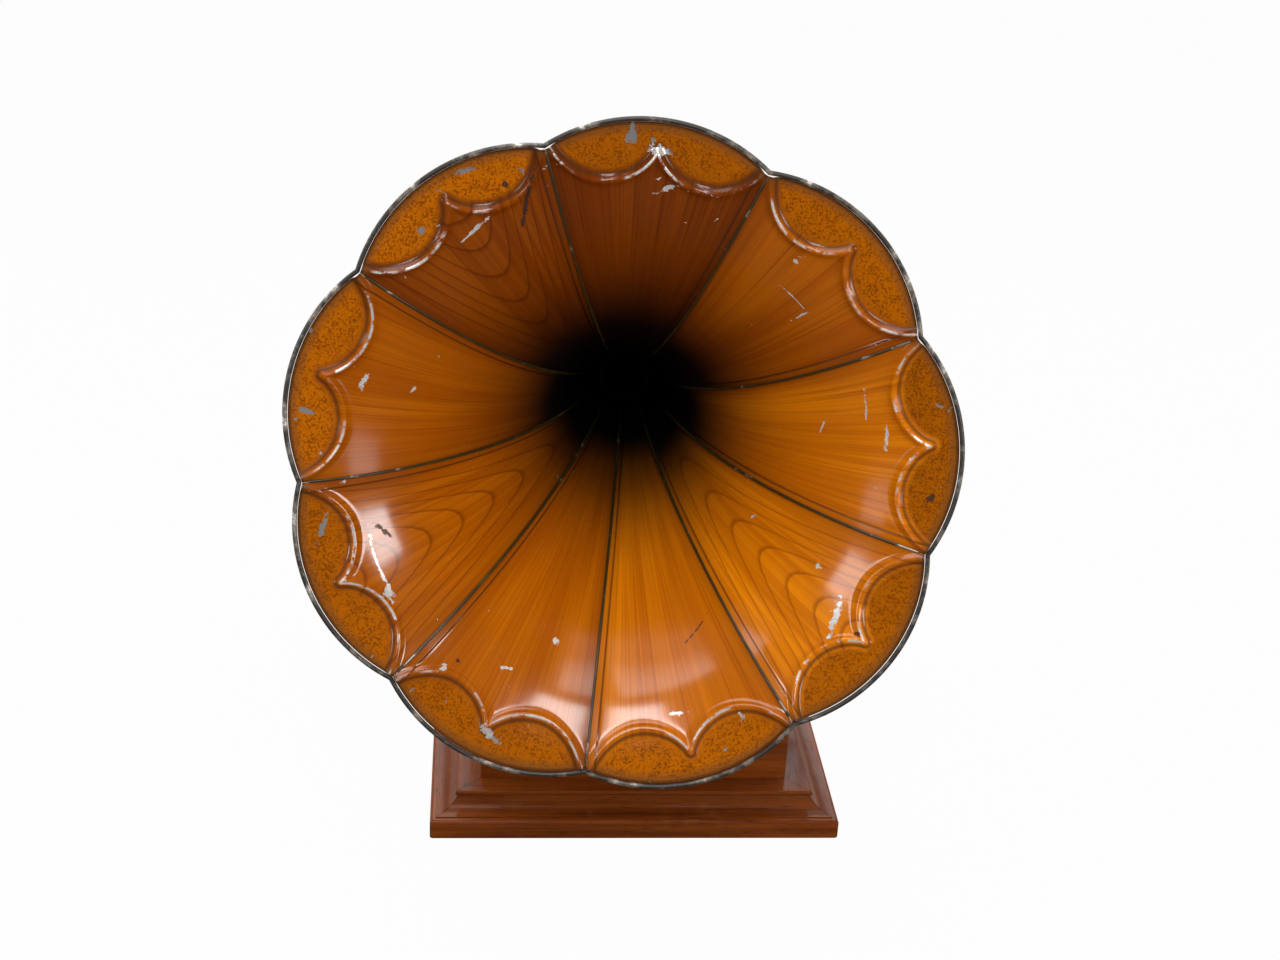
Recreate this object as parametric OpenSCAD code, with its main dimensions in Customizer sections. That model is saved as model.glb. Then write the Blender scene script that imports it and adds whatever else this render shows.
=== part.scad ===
// Table gramophone with an outside horn of nine petals and a spring motor.
// Millimetres. The base stands on Z = 0, the horn opens towards -Y, the crank is on +X.

/* [Case] */
// Width of the square base at its lower board
base_w = 337; // [330:1:350]
// Height of the lower board of the base
base_board_h = 17.5; // [16:0.5:22]
// Depth of the ledge between the lower board and the cove
base_ledge = 5; // [4:0.5:7]
// Width across the bead at the top of the base
step_w = 296; // [290:1:302]
// Height of the cove moulding on the lower board
cove_h = 15.5; // [14:0.5:18]
// Height of the bead at the top of the cove moulding
bead_h = 4.5; // [4:0.5:5.5]
// Width of the case body
body_w = 255; // [252:1:262]
// Height of the case walls
body_h = 88; // [87:0.5:96]
// Thickness of the case walls
wall_t = 12; // [10:0.5:13]
// Side of the glue blocks in the corners of the case
block_w = 13; // [10:1:14]
// Thickness of the bottom board
bottom_t = 8; // [6:1:12]
// Height of the cornice under the motor board
cornice_h = 12; // [10:1:15]
// Overhang of the motor board beyond the case walls
deck_over = 14.5; // [12.5:0.5:18.5]
// Thickness of the motor board
deck_t = 12; // [10:0.5:14]
// Radius of the wood screw shanks
screw_r = 1.8; // [1.5:0.1:2.2]
// Length of the wood screw shanks
screw_len = 16; // [14:1:17]

/* [Horn] */
// Radius of the mouth at the middle of a petal
mouth_r = 225; // [215:1:235]
// Inside radius of the small end
throat_r = 22; // [21:0.5:23]
// Length of the horn along its axis
horn_len = 462; // [450:1:480]
// Axial distance over which the neck stays slender
neck_len = 300; // [285:1:315]
// Radius that the neck widens towards
neck_r = 40; // [36:1:46]
// Radius that the flare turns out at
flare_r = 110; // [100:1:120]
// Depth of the turned-out lip
lip_len = 20; // [14:1:26]
// Upward tilt of the horn in degrees
horn_tilt = 14; // [11:1:18]
// Sideways aim of the horn in degrees
horn_aim = 4.5; // [0:0.5:8]
// Share of the radius by which the rim draws in at a seam
scallop = 0.055; // [0.04:0.005:0.08]
// Turn of the first petal about the horn axis in degrees
petal_turn = 6; // [0:1:10]
// Thickness of the tinplate
tin_t = 0.8; // [0.6:0.1:1.1]
// Width of a folded seam
seam_w = 2.6; // [2:0.2:3.4]
// Height of a folded seam above the tinplate
seam_h = 1.4; // [1:0.1:2]
// Radius of the rolled rim wire
wire_r = 1.7; // [1.4:0.1:2]

/* [Bracket and elbow] */
// Distance of the swivel axis behind the case
pivot_back = 42.5; // [40:0.5:48]
// Bend radius of the elbow
elbow_bend_r = 52; // [48:1:58]
// Wall of the elbow
elbow_wall = 1.6; // [1.2:0.1:2]
// Outer radius of the bracket ring
ring_r = 31; // [30:0.5:34]
// Height of the bracket ring
ring_h = 22; // [20:0.5:24]
// Thickness of the bracket casting
bracket_t = 16; // [14:0.5:18]
// Width of the bracket post
post_w = 24; // [20:1:28]
// Width of the plate that is screwed to the case
foot_w = 64; // [56:1:72]
// Thickness of that plate
foot_t = 6; // [5:0.5:8]

/* [Tone arm] */
// Height of the tone arm axis above the motor board
arm_rise = 45; // [44:0.5:48]
// Distance from the swivel axis to the gooseneck axis
arm_len = 122; // [116:1:128]
// Outer radius at the thick end
arm_r = 17; // [16:0.5:18]
// Outer radius at the thin end
tip_r = 11; // [10:0.5:12]
// Wall of the tone arm tube
arm_wall = 1.2; // [0.9:0.1:1.5]
// Angle of the parked arm from the middle line in degrees
park_angle = 42; // [40:1:46]
// Bend radius of the gooseneck
goose_bend_r = 25; // [24:0.5:27]
// Outer radius of the sound box
box_r = 29; // [27:0.5:30]
// Distance from the sound box centre to the needle point
needle_reach = 50; // [48:0.5:51]
// Radius of the needle
needle_r = 0.8; // [0.6:0.1:1]

/* [Turntable] */
// Distance of the turntable from the sides of the case, seen from above
platter_margin = 13.5; // [11.5:0.5:17.5]
// Depth of the turntable rim
platter_h = 9; // [8:0.5:10]
// Gap between the motor board and the rim
platter_gap = 5.5; // [5:0.5:6.5]
// Thickness of the felt
felt_t = 1.2; // [0.8:0.1:1.5]
// Radius of the spindle
spindle_r = 3.6; // [3.2:0.1:4]
// Height of the spindle pin above the felt
pin_h = 9; // [7:0.5:11]

/* [Motor] */
// Thickness of the motor plates
plate_t = 5; // [4:0.5:6]
// Distance between the motor plates
plate_gap = 88; // [86:0.5:90]
// Radius of the pillars
pillar_r = 5; // [4:0.5:6]
// Gear module of the train
gear_m = 1; // [1:0.01:1.02]
// Width of the train wheels
wheel_t = 4; // [3:0.5:5]
// Radius of the arbors
arbor_r = 4; // [3.5:0.1:4.4]
// Height of the spring barrel
barrel_h = 30; // [26:1:32]
// Wall of the spring barrel
barrel_wall = 2; // [1.5:0.25:3]
// Radius of the governor shaft
gov_r = 2.5; // [2:0.1:3]
// Radius of a governor weight
weight_r = 6; // [5:0.5:7]

/* [Crank] */
// Depth of the crank axis below the motor board
crank_drop = 33; // [31:0.5:34]
// Length of the crank arm
crank_len = 84; // [70:1:86]
// Radius of the winding shaft
wind_r = 5; // [4.5:0.1:5.5]
// Length of the crank knob
knob_len = 52; // [46:1:58]
// Radius of the crank knob
knob_r = 10.5; // [9:0.5:12]

/* [Fits] */
// Radial clearance of a running fit
fit = 0.05; // [0.02:0.01:0.09]
// Gap between faces that move past each other
gap = 0.3; // [0.25:0.05:0.4]

/* [Hidden] */
$fn = 64;

// Levels of the case
body_z = base_board_h + cove_h;
cornice_z = body_z + body_h;
deck_bottom = cornice_z + cornice_h;
deck_z = deck_bottom + deck_t;
deck_w = body_w + 2*deck_over;
crank_z = deck_bottom - crank_drop;
inner_w = body_w - 2*wall_t;
wood_gap = 0.1;
round_r = 2.5;
screw_head_r = 2*screw_r;
screw_head_h = screw_r;
deck_screw_at = (body_w - wall_t)/2 + 2;
deck_screw_in = 30;
cornice_lip = 4;
foot_z = body_z + 14;
foot_h = 62;
stem_r = 3;
bolt_r = 2;
bush_r = wind_r + 4;

// Swivel axis, bracket ring and tone arm levels
pivot_y = body_w/2 + pivot_back;
arm_z = deck_z + arm_rise;
arm_bend_r = arm_r + 7;
ring_z = arm_z + arm_bend_r + 4;
ring_top = ring_z + ring_h;
shoulder_z = ring_z + ring_h*0.45;
flange_t = 3;
flange_r = throat_r - 1;
spigot_z = shoulder_z + gap + flange_t + gap;
elbow_flange_t = 4;
socket_t = elbow_wall/2;
socket_lap = 3;
collar_back = 14;
collar_front = 12;
collar_t = 2.6;
clamp_r = 2.5;
clamp_z = ring_top - 5;
web_h = 26;
elbow_z = ring_top + gap + elbow_flange_t;
turn = 90 - horn_tilt;
bend_y = -elbow_bend_r*(1 - cos(turn));
bend_z = elbow_z + elbow_bend_r*sin(turn);
throat_y = bend_y - collar_back*sin(turn);
throat_z = bend_z + collar_back*cos(turn);

// Horn petals
petals = 9;
petal_half = 180/petals;
along = 16;
across = 8;
seam_gap = 0.2;
wire_sides = 8;

// Gooseneck and sound box
tip_bend_r = tip_r + 5;
stub_len = 14;
goose_r = tip_r - arm_wall - fit;
goose_wall = 1.2;
goose_x = -(tip_bend_r + stub_len + 2);
back_x = -14;
back_t = 4;
gasket_t = 2;
mica_t = 0.4;
lip_t = 2.6;
box_wall = 3.4;
play_rise = 17.5;
needle_pitch = 60;
flip_back = 33;
needle_screw_r = 1.4;

// Turntable
spindle_y = -10;
platter_r = body_w/2 - platter_margin;
platter_z = deck_z + platter_gap;
platter_top = platter_z + platter_h;
felt_top = platter_top + felt_t;
platter_t = 2.4;
hub_r = 16;
hub_drop = 7;
shaft_r = spindle_r + 1.4;
journal_r = 3;

// Motor plates, hung under the motor board
top_plate_z = deck_bottom - plate_t;
low_plate_top = top_plate_z - plate_gap;
low_plate_z = low_plate_top - plate_t;
plate_x0 = -88;
plate_x1 = 98;
plate_y0 = -62;
plate_y1 = 82;
pillar_inset = 9;

// Train: tooth counts, centres and levels
great_n = 84;
wheel_n = 70;
pinion_n = 14;
mid_y = spindle_y + gear_m*(wheel_n + pinion_n)/2;
barrel_x = gear_m*(great_n + pinion_n)/2;
great_rise = 3;
great_z = low_plate_top + great_rise;
barrel_z = great_z + wheel_t;
great_rim = 4;
barrel_r = gear_m*great_n/2 - great_rim;
cover_t = 2;
crown_n = 36;
wind_n = 12;
crown_m = 1.5;
crown_pitch_r = crown_m*crown_n/2;
wind_pitch_r = crown_m*wind_n/2;
crown_pitch_z = crank_z - wind_pitch_r;
crown_body_t = 4;
wind_w = 10;
mid_r = 3;
hook_r = 9;
stud_r = 2.5;
stud_head_t = 3;
tooth_up = 0.75;
tooth_down = 1.1;
mid_wheel_drop = 23.5;
mid_wheel_z = top_plate_z - mid_wheel_drop;
ratchet_drop = 15;
ratchet_z = top_plate_z - ratchet_drop;
ratchet_t = 4;
ratchet_r = 13;
ratchet_n = 18;
click_aside = 25;
click_back = 20;
click_x = barrel_x + click_aside;
click_y = mid_y + click_back;

// Governor
worm_wheel_n = 24;
worm_starts = 2;
worm_m = 1.27;
worm_wheel_r = worm_m*worm_wheel_n/2;
worm_pitch_r = 5;
worm_len = 14;
worm_rise = 24;
worm_z = low_plate_top + worm_rise;
worm_wheel_t = 2.4;
gov_y = spindle_y - worm_wheel_r - worm_pitch_r;
gov_x0 = -74;
gov_x1 = 24;
collar_x = -20;
disc_x = -58;
disc_r = 15;
disc_t = 3;
sleeve_len = 10;
sleeve_r = 5.5;
bearing_t = 5;
weights = 3;
spring_w = 5;
spring_t = 0.6;
pad_gap = 3.4;
pad_t = 3;
arm_low = low_plate_top + 3;
arm_thick = 3;

// Controls on the motor board
knob_in = 19.5;
knob_x = knob_in - inner_w/2;
knob_y = knob_x;
brake_in = 42;
brake_x = deck_w/2 - brake_in;
brake_y = -brake_x;
bush_t = 3;
crank_x = base_w/2 + 4;
crank_t = 8;
crank_hub_r = 11;
pin_r = 3;

// Wood parts

module at_side(side) {
    rotate([0, 0, 90*side]) children();
}

// A wedge that cuts the two mitres of the rail on the -Y side
module mitre_wedge(w, h) {
    linear_extrude(h) polygon([[0, 0], [-w, -w], [w, -w]]);
}

// A rail along X on the -Y side; the outline has its outward direction along +X and height along +Y
module mitred_rail(w, h, side) {
    at_side(side) intersection() {
        rotate([90, 0, -90]) linear_extrude(2*w, center = true) children();
        mitre_wedge(w, h);
    }
}

module base_outline() {
    half = base_w/2;
    difference() {
        translate([inner_w/2, 0]) square([half - inner_w/2, base_board_h]);
        translate([half - round_r, base_board_h - round_r]) difference() {
            square(2*round_r);
            circle(round_r);
        }
        translate([half - round_r, round_r]) mirror([0, 1]) difference() {
            square(2*round_r);
            circle(round_r);
        }
    }
}

module base_rails() {
    color("saddlebrown")
        for (side = [0:3]) mitred_rail(base_w, base_board_h, side) base_outline();
}

// Cove below, bead above and a flat ledge where the case stands
module cove_outline() {
    foot = base_w/2 - base_ledge;
    bead_out = step_w/2;
    cove_r = foot - bead_out + bead_h/2;
    hollow = cove_h - bead_h - 1;
    difference() {
        translate([inner_w/2, 0]) square([foot - inner_w/2, cove_h - bead_h]);
        translate([foot, hollow + 1]) hollow_outline(cove_r, hollow);
    }
    translate([inner_w/2, 0]) square([bead_out - bead_h/2 - inner_w/2, cove_h]);
    translate([bead_out - bead_h/2, cove_h - bead_h/2]) circle(bead_h/2);
}

// A round hollow of the given depth: the arc passes through the ledge and the foot of the bead
module hollow_outline(depth, rise) {
    arc_r = (depth*depth + rise*rise)/(2*rise);
    intersection() {
        translate([0, arc_r - rise]) circle(arc_r, $fn = 128);
        translate([-depth, -rise]) square([2*depth, 2*rise]);
    }
}

module cove_rails() {
    color("sienna") translate([0, 0, base_board_h])
        for (side = [0:3]) mitred_rail(base_w, cove_h, side) cove_outline();
}

module bottom_board() {
    side = inner_w - 2*wood_gap;
    color("burlywood") translate([-side/2, -side/2, 0]) cube([side, side, bottom_t]);
}

module case_wall(len) {
    translate([-len/2, -body_w/2, body_z]) cube([len, wall_t, body_h]);
}

module case_front() {
    color("saddlebrown") case_wall(body_w);
}

module case_back() {
    color("saddlebrown") difference() {
        at_side(2) case_wall(body_w);
        bracket_screw_places() screw_bore();
    }
}

module case_left() {
    color("saddlebrown") at_side(3) case_wall(inner_w);
}

module case_right() {
    color("saddlebrown") difference() {
        at_side(1) case_wall(inner_w);
        translate([body_w/2 - wall_t - 1, mid_y, crank_z]) rotate([0, 90, 0])
            cylinder(h = wall_t + 2, r = bush_r + fit);
    }
}

module corner_blocks() {
    at = inner_w/2 - block_w;
    block_h = body_h - 2;
    color("burlywood")
        for (side = [0:3]) at_side(side) translate([at, at, body_z]) cube([block_w, block_w, block_h]);
}

module cornice_outline() {
    out = deck_w/2 - 2;
    depth = out - body_w/2;
    difference() {
        translate([inner_w/2, 0]) square([out - inner_w/2, cornice_h]);
        translate([out, cornice_h - cornice_lip - depth]) circle(depth, $fn = 96);
    }
}

module cornice_rails() {
    color("sienna") difference() {
        translate([0, 0, cornice_z])
            for (side = [0:3]) mitred_rail(deck_w, cornice_h, side) cornice_outline();
        deck_screw_places() screw_bore();
    }
}

module motor_board() {
    half = deck_w/2;
    round = deck_t/2;
    color("saddlebrown") difference() {
        union() {
            for (side = [0:3]) mitred_board_edge(side);
            translate([round - half, round - half, deck_bottom])
                cube([deck_w - deck_t, deck_w - deck_t, deck_t]);
        }
        deck_screw_places() screw_bore();
        translate([0, spindle_y, deck_bottom - 1]) cylinder(h = deck_t + 2, r = hub_r);
        translate([knob_x, knob_y, deck_bottom - 1]) cylinder(h = deck_t + 2, r = stem_r + fit);
        translate([brake_x, brake_y, deck_bottom - 1]) cylinder(h = deck_t + 2, r = stem_r + fit);
        bolt_places() cylinder(h = 4*deck_t, r = bolt_r + fit, center = true);
    }
}

// The rounded nose along one edge of the motor board
module mitred_board_edge(side) {
    round = deck_t/2;
    translate([0, 0, deck_bottom]) mitred_rail(deck_w, deck_t, side) {
        translate([deck_w/2 - round, round]) circle(round);
        translate([deck_w/2 - 2*round, 0]) square([round, deck_t]);
    }
}

// Fasteners in wood: places have the head at the origin and the shank along -Z

module deck_screw_places() {
    for (side = [0:3]) at_side(side)
        translate([deck_screw_at, deck_screw_at - deck_screw_in, deck_z]) children();
}

module bracket_screw_places() {
    for (x = [-1, 1], z = [0.2, 0.8])
        translate([x*(foot_w/2 - 8), body_w/2 + foot_t, foot_z + z*foot_h]) rotate([-90, 0, 0]) children();
}

module screw_bore() {
    translate([0, 0, -screw_len - gap]) cylinder(h = screw_len + gap + 1, r = screw_r + fit);
}

module wood_screw() {
    slot = 0.8;
    difference() {
        union() {
            translate([0, 0, -screw_len]) cylinder(h = screw_len, r = screw_r);
            intersection() {
                cylinder(h = screw_head_h, r = screw_head_r);
                dome_r = (screw_head_r*screw_head_r + screw_head_h*screw_head_h)/(2*screw_head_h);
                translate([0, 0, screw_head_h - dome_r]) sphere(dome_r);
            }
        }
        translate([-slot/2, -2*screw_head_r, screw_head_h/2]) cube([slot, 4*screw_head_r, screw_head_h]);
    }
}

module wood_screws() {
    color("goldenrod") {
        deck_screw_places() wood_screw();
        bracket_screw_places() wood_screw();
    }
}

module crank_bush() {
    flange_r = bush_r + 9;
    color("goldenrod") translate([body_w/2, mid_y, crank_z]) rotate([0, 90, 0]) difference() {
        union() {
            translate([0, 0, -wall_t]) cylinder(h = wall_t + bush_t, r = bush_r);
            cylinder(h = bush_t, r = flange_r);
            cylinder(h = 2*bush_t, r = bush_r);
        }
        translate([0, 0, -wall_t - 1]) cylinder(h = wall_t + 3*bush_t, r = wind_r + fit);
    }
}

// Horn: a trumpet curve turned about the local Z axis, with its radius drawn in towards each seam

function bezier(a, b, c, d, s) =
    a*pow(1 - s, 3) + 3*b*s*pow(1 - s, 2) + 3*c*s*s*(1 - s) + d*pow(s, 3);

function bezier_slope(a, b, c, d, s) =
    3*((b - a)*pow(1 - s, 2) + 2*(c - b)*s*(1 - s) + (d - c)*s*s);

function horn_t(s) = bezier(0, neck_len, horn_len - lip_len, horn_len, s);

function horn_r(s) = bezier(throat_r, neck_r, flare_r, mouth_r, s);

function draw_in(s, u) = 1 - scallop*pow(s, 3)*u*u;

// Direction along the trumpet curve, as (axial, radial)
function horn_way(s) =
    let (dt = bezier_slope(0, neck_len, horn_len - lip_len, horn_len, s))
    let (dr = bezier_slope(throat_r, neck_r, flare_r, mouth_r, s))
    [dt, dr]/norm([dt, dr]);

// Radius and axial place at share s of the curve and u across a petal, lifted off the inner face
function horn_rt(s, u, lift) =
    let (way = horn_way(s))
    [horn_r(s)*draw_in(s, u) + lift*way[0], horn_t(s) - lift*way[1]];

function horn_point(s, u, lift) =
    let (rt = horn_rt(s, u, lift), a = petal_half*u)
    [rt[0]*cos(a), rt[0]*sin(a), rt[1]];

function quad(a, b, c, d) = [[a, b, c], [a, c, d]];

module at_pivot(angle) {
    translate([0, pivot_y, 0]) rotate([0, 0, angle]) children();
}

module at_horn() {
    at_pivot(-horn_aim) translate([0, throat_y, throat_z]) rotate([turn, 0, 0]) children();
}

module petal() {
    row = across + 1;
    sheet = (along + 1)*row;
    points = [for (side = [0, 1], i = [0:along], j = [0:across])
        horn_point(i/along, 2*j/across - 1, side*tin_t)];
    outer = [for (i = [0:along - 1], j = [0:across - 1]) let (a = sheet + i*row + j)
        each quad(a, a + row, a + row + 1, a + 1)];
    inner = [for (i = [0:along - 1], j = [0:across - 1]) let (a = i*row + j)
        each quad(a, a + 1, a + row + 1, a + row)];
    edges = [for (i = [0:along - 1]) let (a = i*row, b = i*row + across)
        each concat(quad(a, a + row, a + row + sheet, a + sheet),
            quad(b, b + sheet, b + row + sheet, b + row))];
    ends = [for (j = [0:across - 1]) let (a = j, b = along*row + j)
        each concat(quad(a, a + sheet, a + sheet + 1, a + 1),
            quad(b, b + 1, b + sheet + 1, b + sheet))];
    polyhedron(points, concat(outer, inner, edges, ends), convexity = 6);
}

module horn_petal(k) {
    color("peru") at_horn() rotate([0, 0, petal_turn + 2*petal_half*(k - 1)]) petal();
}

// Tube through rings of points, each ring in the same turning order
module tube(rings, closed) {
    n = len(rings);
    m = len(rings[0]);
    last = closed ? n - 1 : n - 2;
    walls = [for (i = [0:last], j = [0:m - 1])
        let (a = i*m + j, b = i*m + (j + 1)%m, c = ((i + 1)%n)*m + (j + 1)%m, d = ((i + 1)%n)*m + j)
        each quad(a, b, c, d)];
    end = (n - 1)*m;
    caps = closed ? [] : [for (j = [1:m - 2]) each [[0, j + 1, j], [end, end + j, end + j + 1]]];
    polyhedron([for (ring = rings) each ring], concat(walls, caps), convexity = 8);
}

// One folded seam stands on the inside, along the line where two petals meet
module seam() {
    first = 0.02;
    last = 0.985;
    low = -seam_gap;
    high = -seam_gap - seam_h;
    rings = [for (i = [0:along]) let (s = first + (last - first)*i/along)
        let (foot = horn_rt(s, 1, low), crest = horn_rt(s, 1, high))
        [[foot[0], -seam_w/2, foot[1]], [foot[0], seam_w/2, foot[1]],
            [crest[0], seam_w/2, crest[1]], [crest[0], -seam_w/2, crest[1]]]];
    tube(rings, false);
}

module petal_seams() {
    color("darkolivegreen") at_horn()
        for (k = [1:petals]) rotate([0, 0, petal_turn + petal_half*(2*k - 1)]) seam();
}

module rim_wire() {
    way = horn_way(1);
    off = wire_r + gap;
    rings = [for (k = [0:petals - 1], j = [0:across - 1])
        let (u = 2*j/across - 1, a = petal_turn + petal_half*(2*k + u), rt = horn_rt(1, u, tin_t/2))
        let (r = rt[0] + off*way[1], t = rt[1] + off*way[0])
        [for (q = [0:wire_sides - 1]) let (b = -360*q/wire_sides)
            [(r + wire_r*cos(b))*cos(a), (r + wire_r*cos(b))*sin(a), t + wire_r*sin(b)]]];
    color("dimgray") at_horn() tube(rings, true);
}

module horn_collar() {
    elbow_side = throat_r + socket_t + fit;
    horn_side = horn_r(collar_front/(3*neck_len)) + tin_t + seam_gap;
    out = horn_side + collar_t;
    bead = 1.6;
    color("goldenrod") at_horn() rotate_extrude() {
        translate([elbow_side, -collar_back]) square([out - elbow_side, collar_back]);
        translate([horn_side, 0]) square([out - horn_side, collar_front]);
        for (t = [bead - collar_back, collar_front - bead]) translate([out, t]) circle(bead);
    }
}

module ring_outline(bend, out, wall) {
    translate([bend, 0]) difference() {
        circle(out);
        circle(out - wall);
    }
}

module horn_elbow() {
    foot_r = ring_r - 2;
    color("dimgray") at_pivot(-horn_aim) {
        difference() {
            union() {
                translate([0, 0, spigot_z]) cylinder(h = elbow_z - spigot_z, r = throat_r);
                translate([0, 0, ring_top + gap]) cylinder(h = elbow_flange_t, r = foot_r);
            }
            translate([0, 0, spigot_z - 1]) cylinder(h = elbow_z - spigot_z + 2, r = throat_r - elbow_wall);
        }
        translate([0, -elbow_bend_r, elbow_z]) rotate([90, 0, 90])
            rotate_extrude(angle = turn) ring_outline(elbow_bend_r, throat_r, elbow_wall);
        translate([0, bend_y, bend_z]) rotate([turn, 0, 0]) difference() {
            translate([0, 0, -socket_lap])
                cylinder(h = collar_back + socket_lap - gap, r = throat_r + socket_t);
            translate([0, 0, -collar_back]) cylinder(h = 3*collar_back, r = throat_r - socket_t);
        }
    }
}

// Bracket: a plate on the back of the case, a web, a post and a ring for the elbow and the tone arm

module bracket_outline() {
    post_in = pivot_y + throat_r + 4;
    post_out = post_in + bracket_t;
    web_z = foot_z + foot_h/2 - web_h/2;
    fillet = 14;
    difference() {
        union() {
            translate([body_w/2 + 1, web_z]) square([post_out - body_w/2 - 1, web_h]);
            translate([post_in, web_z]) square([bracket_t, ring_top - web_z]);
            translate([post_in - fillet, web_z + web_h]) difference() {
                square(fillet);
                translate([0, fillet]) circle(fillet);
            }
        }
        translate([post_out - fillet, web_z + fillet]) mirror([0, 1]) difference() {
            square(fillet + 1);
            circle(fillet);
        }
        translate([post_out - fillet, ring_top - fillet]) difference() {
            square(fillet + 1);
            circle(fillet);
        }
    }
}

module horn_bracket() {
    color("dimgray") difference() {
        union() {
            rotate([90, 0, 90]) linear_extrude(post_w, center = true) bracket_outline();
            translate([-foot_w/2, body_w/2, foot_z]) cube([foot_w, foot_t, foot_h]);
            translate([0, pivot_y, ring_z]) cylinder(h = ring_h, r = ring_r);
        }
        translate([0, pivot_y, shoulder_z]) cylinder(h = ring_h, r = throat_r + fit);
        translate([0, pivot_y, ring_z - 1]) cylinder(h = ring_h, r = arm_r + fit);
        bracket_screw_places() screw_bore();
        translate([throat_r, pivot_y, clamp_z]) rotate([0, 90, 0]) cylinder(h = ring_r, r = clamp_r + fit);
    }
}

module thumb_screw() {
    head_r = 6;
    head_t = 5;
    wing_w = 22;
    wing_t = 2.4;
    head_x = ring_r + 2;
    color("goldenrod") translate([0, pivot_y, clamp_z]) rotate([0, 90, 0]) {
        translate([0, 0, throat_r + gap]) cylinder(h = head_x - throat_r, r = clamp_r);
        translate([0, 0, head_x]) cylinder(h = head_t, r = head_r);
        translate([-wing_w/2, -wing_t/2, head_x + 1]) cube([wing_w, wing_t, 11]);
    }
}

// Tone arm: pivot at the origin, the arm leads along -Y before it is turned to its parked place

module at_arm() {
    at_pivot(park_angle) children();
}

module tone_arm() {
    straight = arm_len - tip_bend_r - arm_bend_r;
    riser_z = arm_z + arm_bend_r;
    riser_top = shoulder_z + gap + flange_t;
    color("silver") at_arm() {
        difference() {
            union() {
                translate([0, 0, riser_z]) cylinder(h = riser_top - riser_z, r = arm_r);
                translate([0, 0, shoulder_z + gap]) cylinder(h = flange_t, r = flange_r);
            }
            translate([0, 0, riser_z - 1]) cylinder(h = ring_h*2, r = arm_r - arm_wall);
        }
        translate([0, -arm_bend_r, riser_z]) rotate([90, 0, 90]) rotate([0, 0, -90])
            rotate_extrude(angle = 90) ring_outline(arm_bend_r, arm_r, arm_wall);
        translate([0, -arm_bend_r, arm_z]) rotate([90, 0, 0]) difference() {
            cylinder(h = straight, r1 = arm_r, r2 = tip_r);
            cylinder(h = straight, r1 = arm_r - arm_wall, r2 = tip_r - arm_wall);
        }
        translate([-tip_bend_r, tip_bend_r - arm_len, arm_z]) rotate([0, 0, -90])
            rotate_extrude(angle = 90) ring_outline(tip_bend_r, tip_r, arm_wall);
        translate([-tip_bend_r, -arm_len, arm_z]) rotate([0, -90, 0]) difference() {
            cylinder(h = stub_len, r = tip_r);
            translate([0, 0, -1]) cylinder(h = stub_len + 2, r = goose_r + fit);
        }
    }
}

// Gooseneck: flips about the X axis of the arm; its other leg carries the sound box
module at_flip() {
    at_arm() translate([0, -arm_len, arm_z]) rotate([-flip_back, 0, 0]) children();
}

module gooseneck() {
    inside = 12;
    lip = 2;
    color("silver") at_flip() {
        difference() {
            union() {
                translate([goose_x, 0, 0]) rotate([0, 90, 0]) cylinder(h = inside, r = goose_r);
                translate([goose_x, 0, 0]) rotate([0, 90, 0]) cylinder(h = lip - gap, r = tip_r);
            }
            translate([goose_x - 1, 0, 0]) rotate([0, 90, 0])
                cylinder(h = inside + 2, r = goose_r - goose_wall);
        }
        translate([goose_x, 0, goose_bend_r]) rotate([90, 0, 0]) rotate([0, 0, 90])
            rotate_extrude(angle = 180) ring_outline(goose_bend_r, goose_r, goose_wall);
        translate([goose_x, 0, 2*goose_bend_r]) rotate([0, 90, 0]) difference() {
            cylinder(h = back_x - goose_x, r = goose_r);
            translate([0, 0, -1]) cylinder(h = back_x - goose_x + 2, r = goose_r - goose_wall);
        }
    }
}

// Sound box: its axis is local Z, its face looks along +Z and the needle points along -Y
module at_box() {
    at_flip() translate([back_x, 0, 2*goose_bend_r]) rotate([needle_pitch + play_rise - 180, 0, 0])
        rotate([90, 0, 90]) children();
}

module soundbox_back() {
    neck = 8;
    neck_r_out = goose_r + 2.6;
    color("silver") at_box() difference() {
        union() {
            cylinder(h = back_t, r = box_r);
            translate([0, 0, -neck]) cylinder(h = neck + 1, r = neck_r_out);
        }
        translate([0, 0, -neck - 1]) cylinder(h = neck + 1, r = goose_r + fit);
        translate([0, 0, -1]) cylinder(h = back_t + 2, r = goose_r - goose_wall);
    }
}

// Stack of the sound box from its back: gasket, diaphragm, gasket, front lip
module soundbox_body() {
    stack = 2*gasket_t + mica_t;
    color("silver") at_box() translate([0, 0, back_t]) difference() {
        cylinder(h = stack + lip_t, r = box_r);
        translate([0, 0, -1]) cylinder(h = stack + 1, r = box_r - box_wall);
        cylinder(h = 2*stack, r = box_r - 2*box_wall);
    }
}

module soundbox_gaskets() {
    color("darkred") at_box() translate([0, 0, back_t])
        for (z = [0, gasket_t + mica_t]) translate([0, 0, z]) difference() {
            cylinder(h = gasket_t, r = box_r - box_wall - wood_gap);
            translate([0, 0, -1]) cylinder(h = gasket_t + 2, r = box_r - 2*box_wall);
        }
}

module diaphragm() {
    color("ivory") at_box() translate([0, 0, back_t + gasket_t])
        cylinder(h = mica_t, r = box_r - box_wall - wood_gap);
}

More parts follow.
